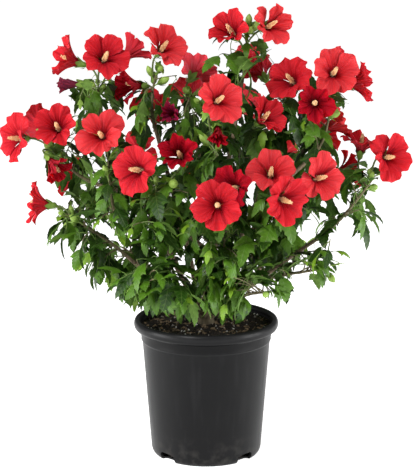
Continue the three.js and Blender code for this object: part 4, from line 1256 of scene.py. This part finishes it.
def grow_bud(bundle, bloom, finish):
    """The egg inside the sepals, drawn to a point."""
    share = np.linspace(0, 1, 10)
    radii = bloom.size * (BUD_SHAPE["half_width"] * np.sin(np.pi * share**0.72) ** 0.75 + 0.1)
    path = bloom.throat + bloom.size * np.outer(share * BUD_SHAPE["length"] - 3, bloom.heading)
    bundle.add(*tube(path, radii, CALYX_SIDES), finish)


greens = Bundle()
clusters = []
for number, name in enumerate(SHOOTS):
    chance = random.Random(800 + number)
    leader = leaders[name]
    crowded = name == CROWDED_TIP["shoot"]
    if crowded:
        count = CROWDED_TIP["buds"]
    else:
        count = chance.randint(*CLUSTER["buds"]) if blooms[name] else 1
    for index in range(count):
        out = side_of(leader.heading(1), index * GOLDEN_ANGLE + chance.random())
        heading = unit(out + leader.heading(1) * chance.uniform(0.6, 1.6))
        size = chance.uniform(*CLUSTER["size"])
        root = leader.at(1 - (0 if crowded else CLUSTER["apart"]) * index)
        foot = root + heading * chance.uniform(*CLUSTER["stalk"])
        bearing = math.degrees(math.atan2(heading[0], -heading[1]))
        pitch = math.degrees(math.asin(heading[2]))
        clusters.append(Bloom(*(foot + heading * CALYX_LENGTH * size), bearing, pitch, BUD, "green", size))
        greens.add(*tube([root, (root + foot) / 2, foot + heading * size], [1.2, 1.0, 1.3], 6))
for number, bloom in enumerate(every_bloom + clusters):
    chance = random.Random(700 + number)
    grow_calyx(greens, bloom, 0, chance)
    if not bloom.spread:
        grow_bud(greens, bloom, 1)
calyx_materials = [
    leaf_finish("calyx_green", (0.17, 0.29, 0.04), False),
    leaf_finish("bud_green", (0.24, 0.37, 0.06), False),
]
calyx_piece = greens.piece("calyces_and_buds", calyx_materials)
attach(calyx_piece, "root")
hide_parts(*foliage_nodes)


# ---- Floor ----
# A wide round sheet of pale matt board that runs out of sight on every side.

FLOOR_RADIUS = 40_000
FLOOR_SIDES = 64
edge, _ = turned([(FLOOR_RADIUS, 0)], FLOOR_SIDES)
floor_mesh = new_mesh("studio_floor", edge, [tuple(range(FLOOR_SIDES))])
board, board_wire = new_finish("pale_board")
fibre = board_wire.grain(40, 3)
board_wire.surface(
    Base_Color=fibre.blend((0.88, 0.88, 0.88), (0.9, 0.9, 0.9)),
    Roughness=0.9 + 0.05 * fibre,
    Emission_Color=(1, 1, 1, 1),
    Emission_Strength=0.86,
)
floor = shown("studio_floor", floor_mesh, [board])


# ---- Light ----
# An even white surround, a broad soft lamp high at the front left, a weaker one at the right, and one low on
# each side that draws the soft bright edges down the pot.

surround = bpy.data.worlds.new("white_surround")
bpy.context.scene.world = surround
surround.use_nodes = True
surround.node_tree.nodes["Background"].inputs["Color"].default_value = (1, 1, 1, 1)
surround.node_tree.nodes["Background"].inputs["Strength"].default_value = 0.2
LAMPS = {
    "key": {"place": (-1.2, -2.0, 2.6), "size": 1.0, "power": 92},
    "fill": {"place": (2.0, -1.4, 1.6), "size": 1.4, "power": 12},
    "left_side": {"place": (-2.0, -0.6, 0.4), "size": 1.1, "power": 44},
    "right_side": {"place": (2.0, -0.55, 0.4), "size": 1.1, "power": 44},
}
AIM = Vector((0, 0, 0.4))
for name, lamp in LAMPS.items():
    light = bpy.data.lights.new(name, "AREA")
    light.size, light.energy = lamp["size"], lamp["power"]
    holder = bpy.data.objects.new(name, light)
    bpy.context.scene.collection.objects.link(holder)
    holder.location = lamp["place"]
    holder.rotation_euler = (AIM - holder.location).to_track_quat("-Z", "Y").to_euler()
bpy.context.scene.view_settings.view_transform = "Standard"


# ---- Camera ----
# Level with the top of the crown and a little above it, looking slightly down.

camera_data = bpy.data.cameras.new("camera")
camera_data.lens, camera_data.sensor_width, camera_data.sensor_fit = 117.6, 36, "AUTO"
camera = bpy.data.objects.new("camera", camera_data)
bpy.context.scene.collection.objects.link(camera)
camera.location = Vector(EYE) * MM
camera.rotation_euler = (math.radians(78.23), 0, 0)
bpy.context.scene.camera = camera
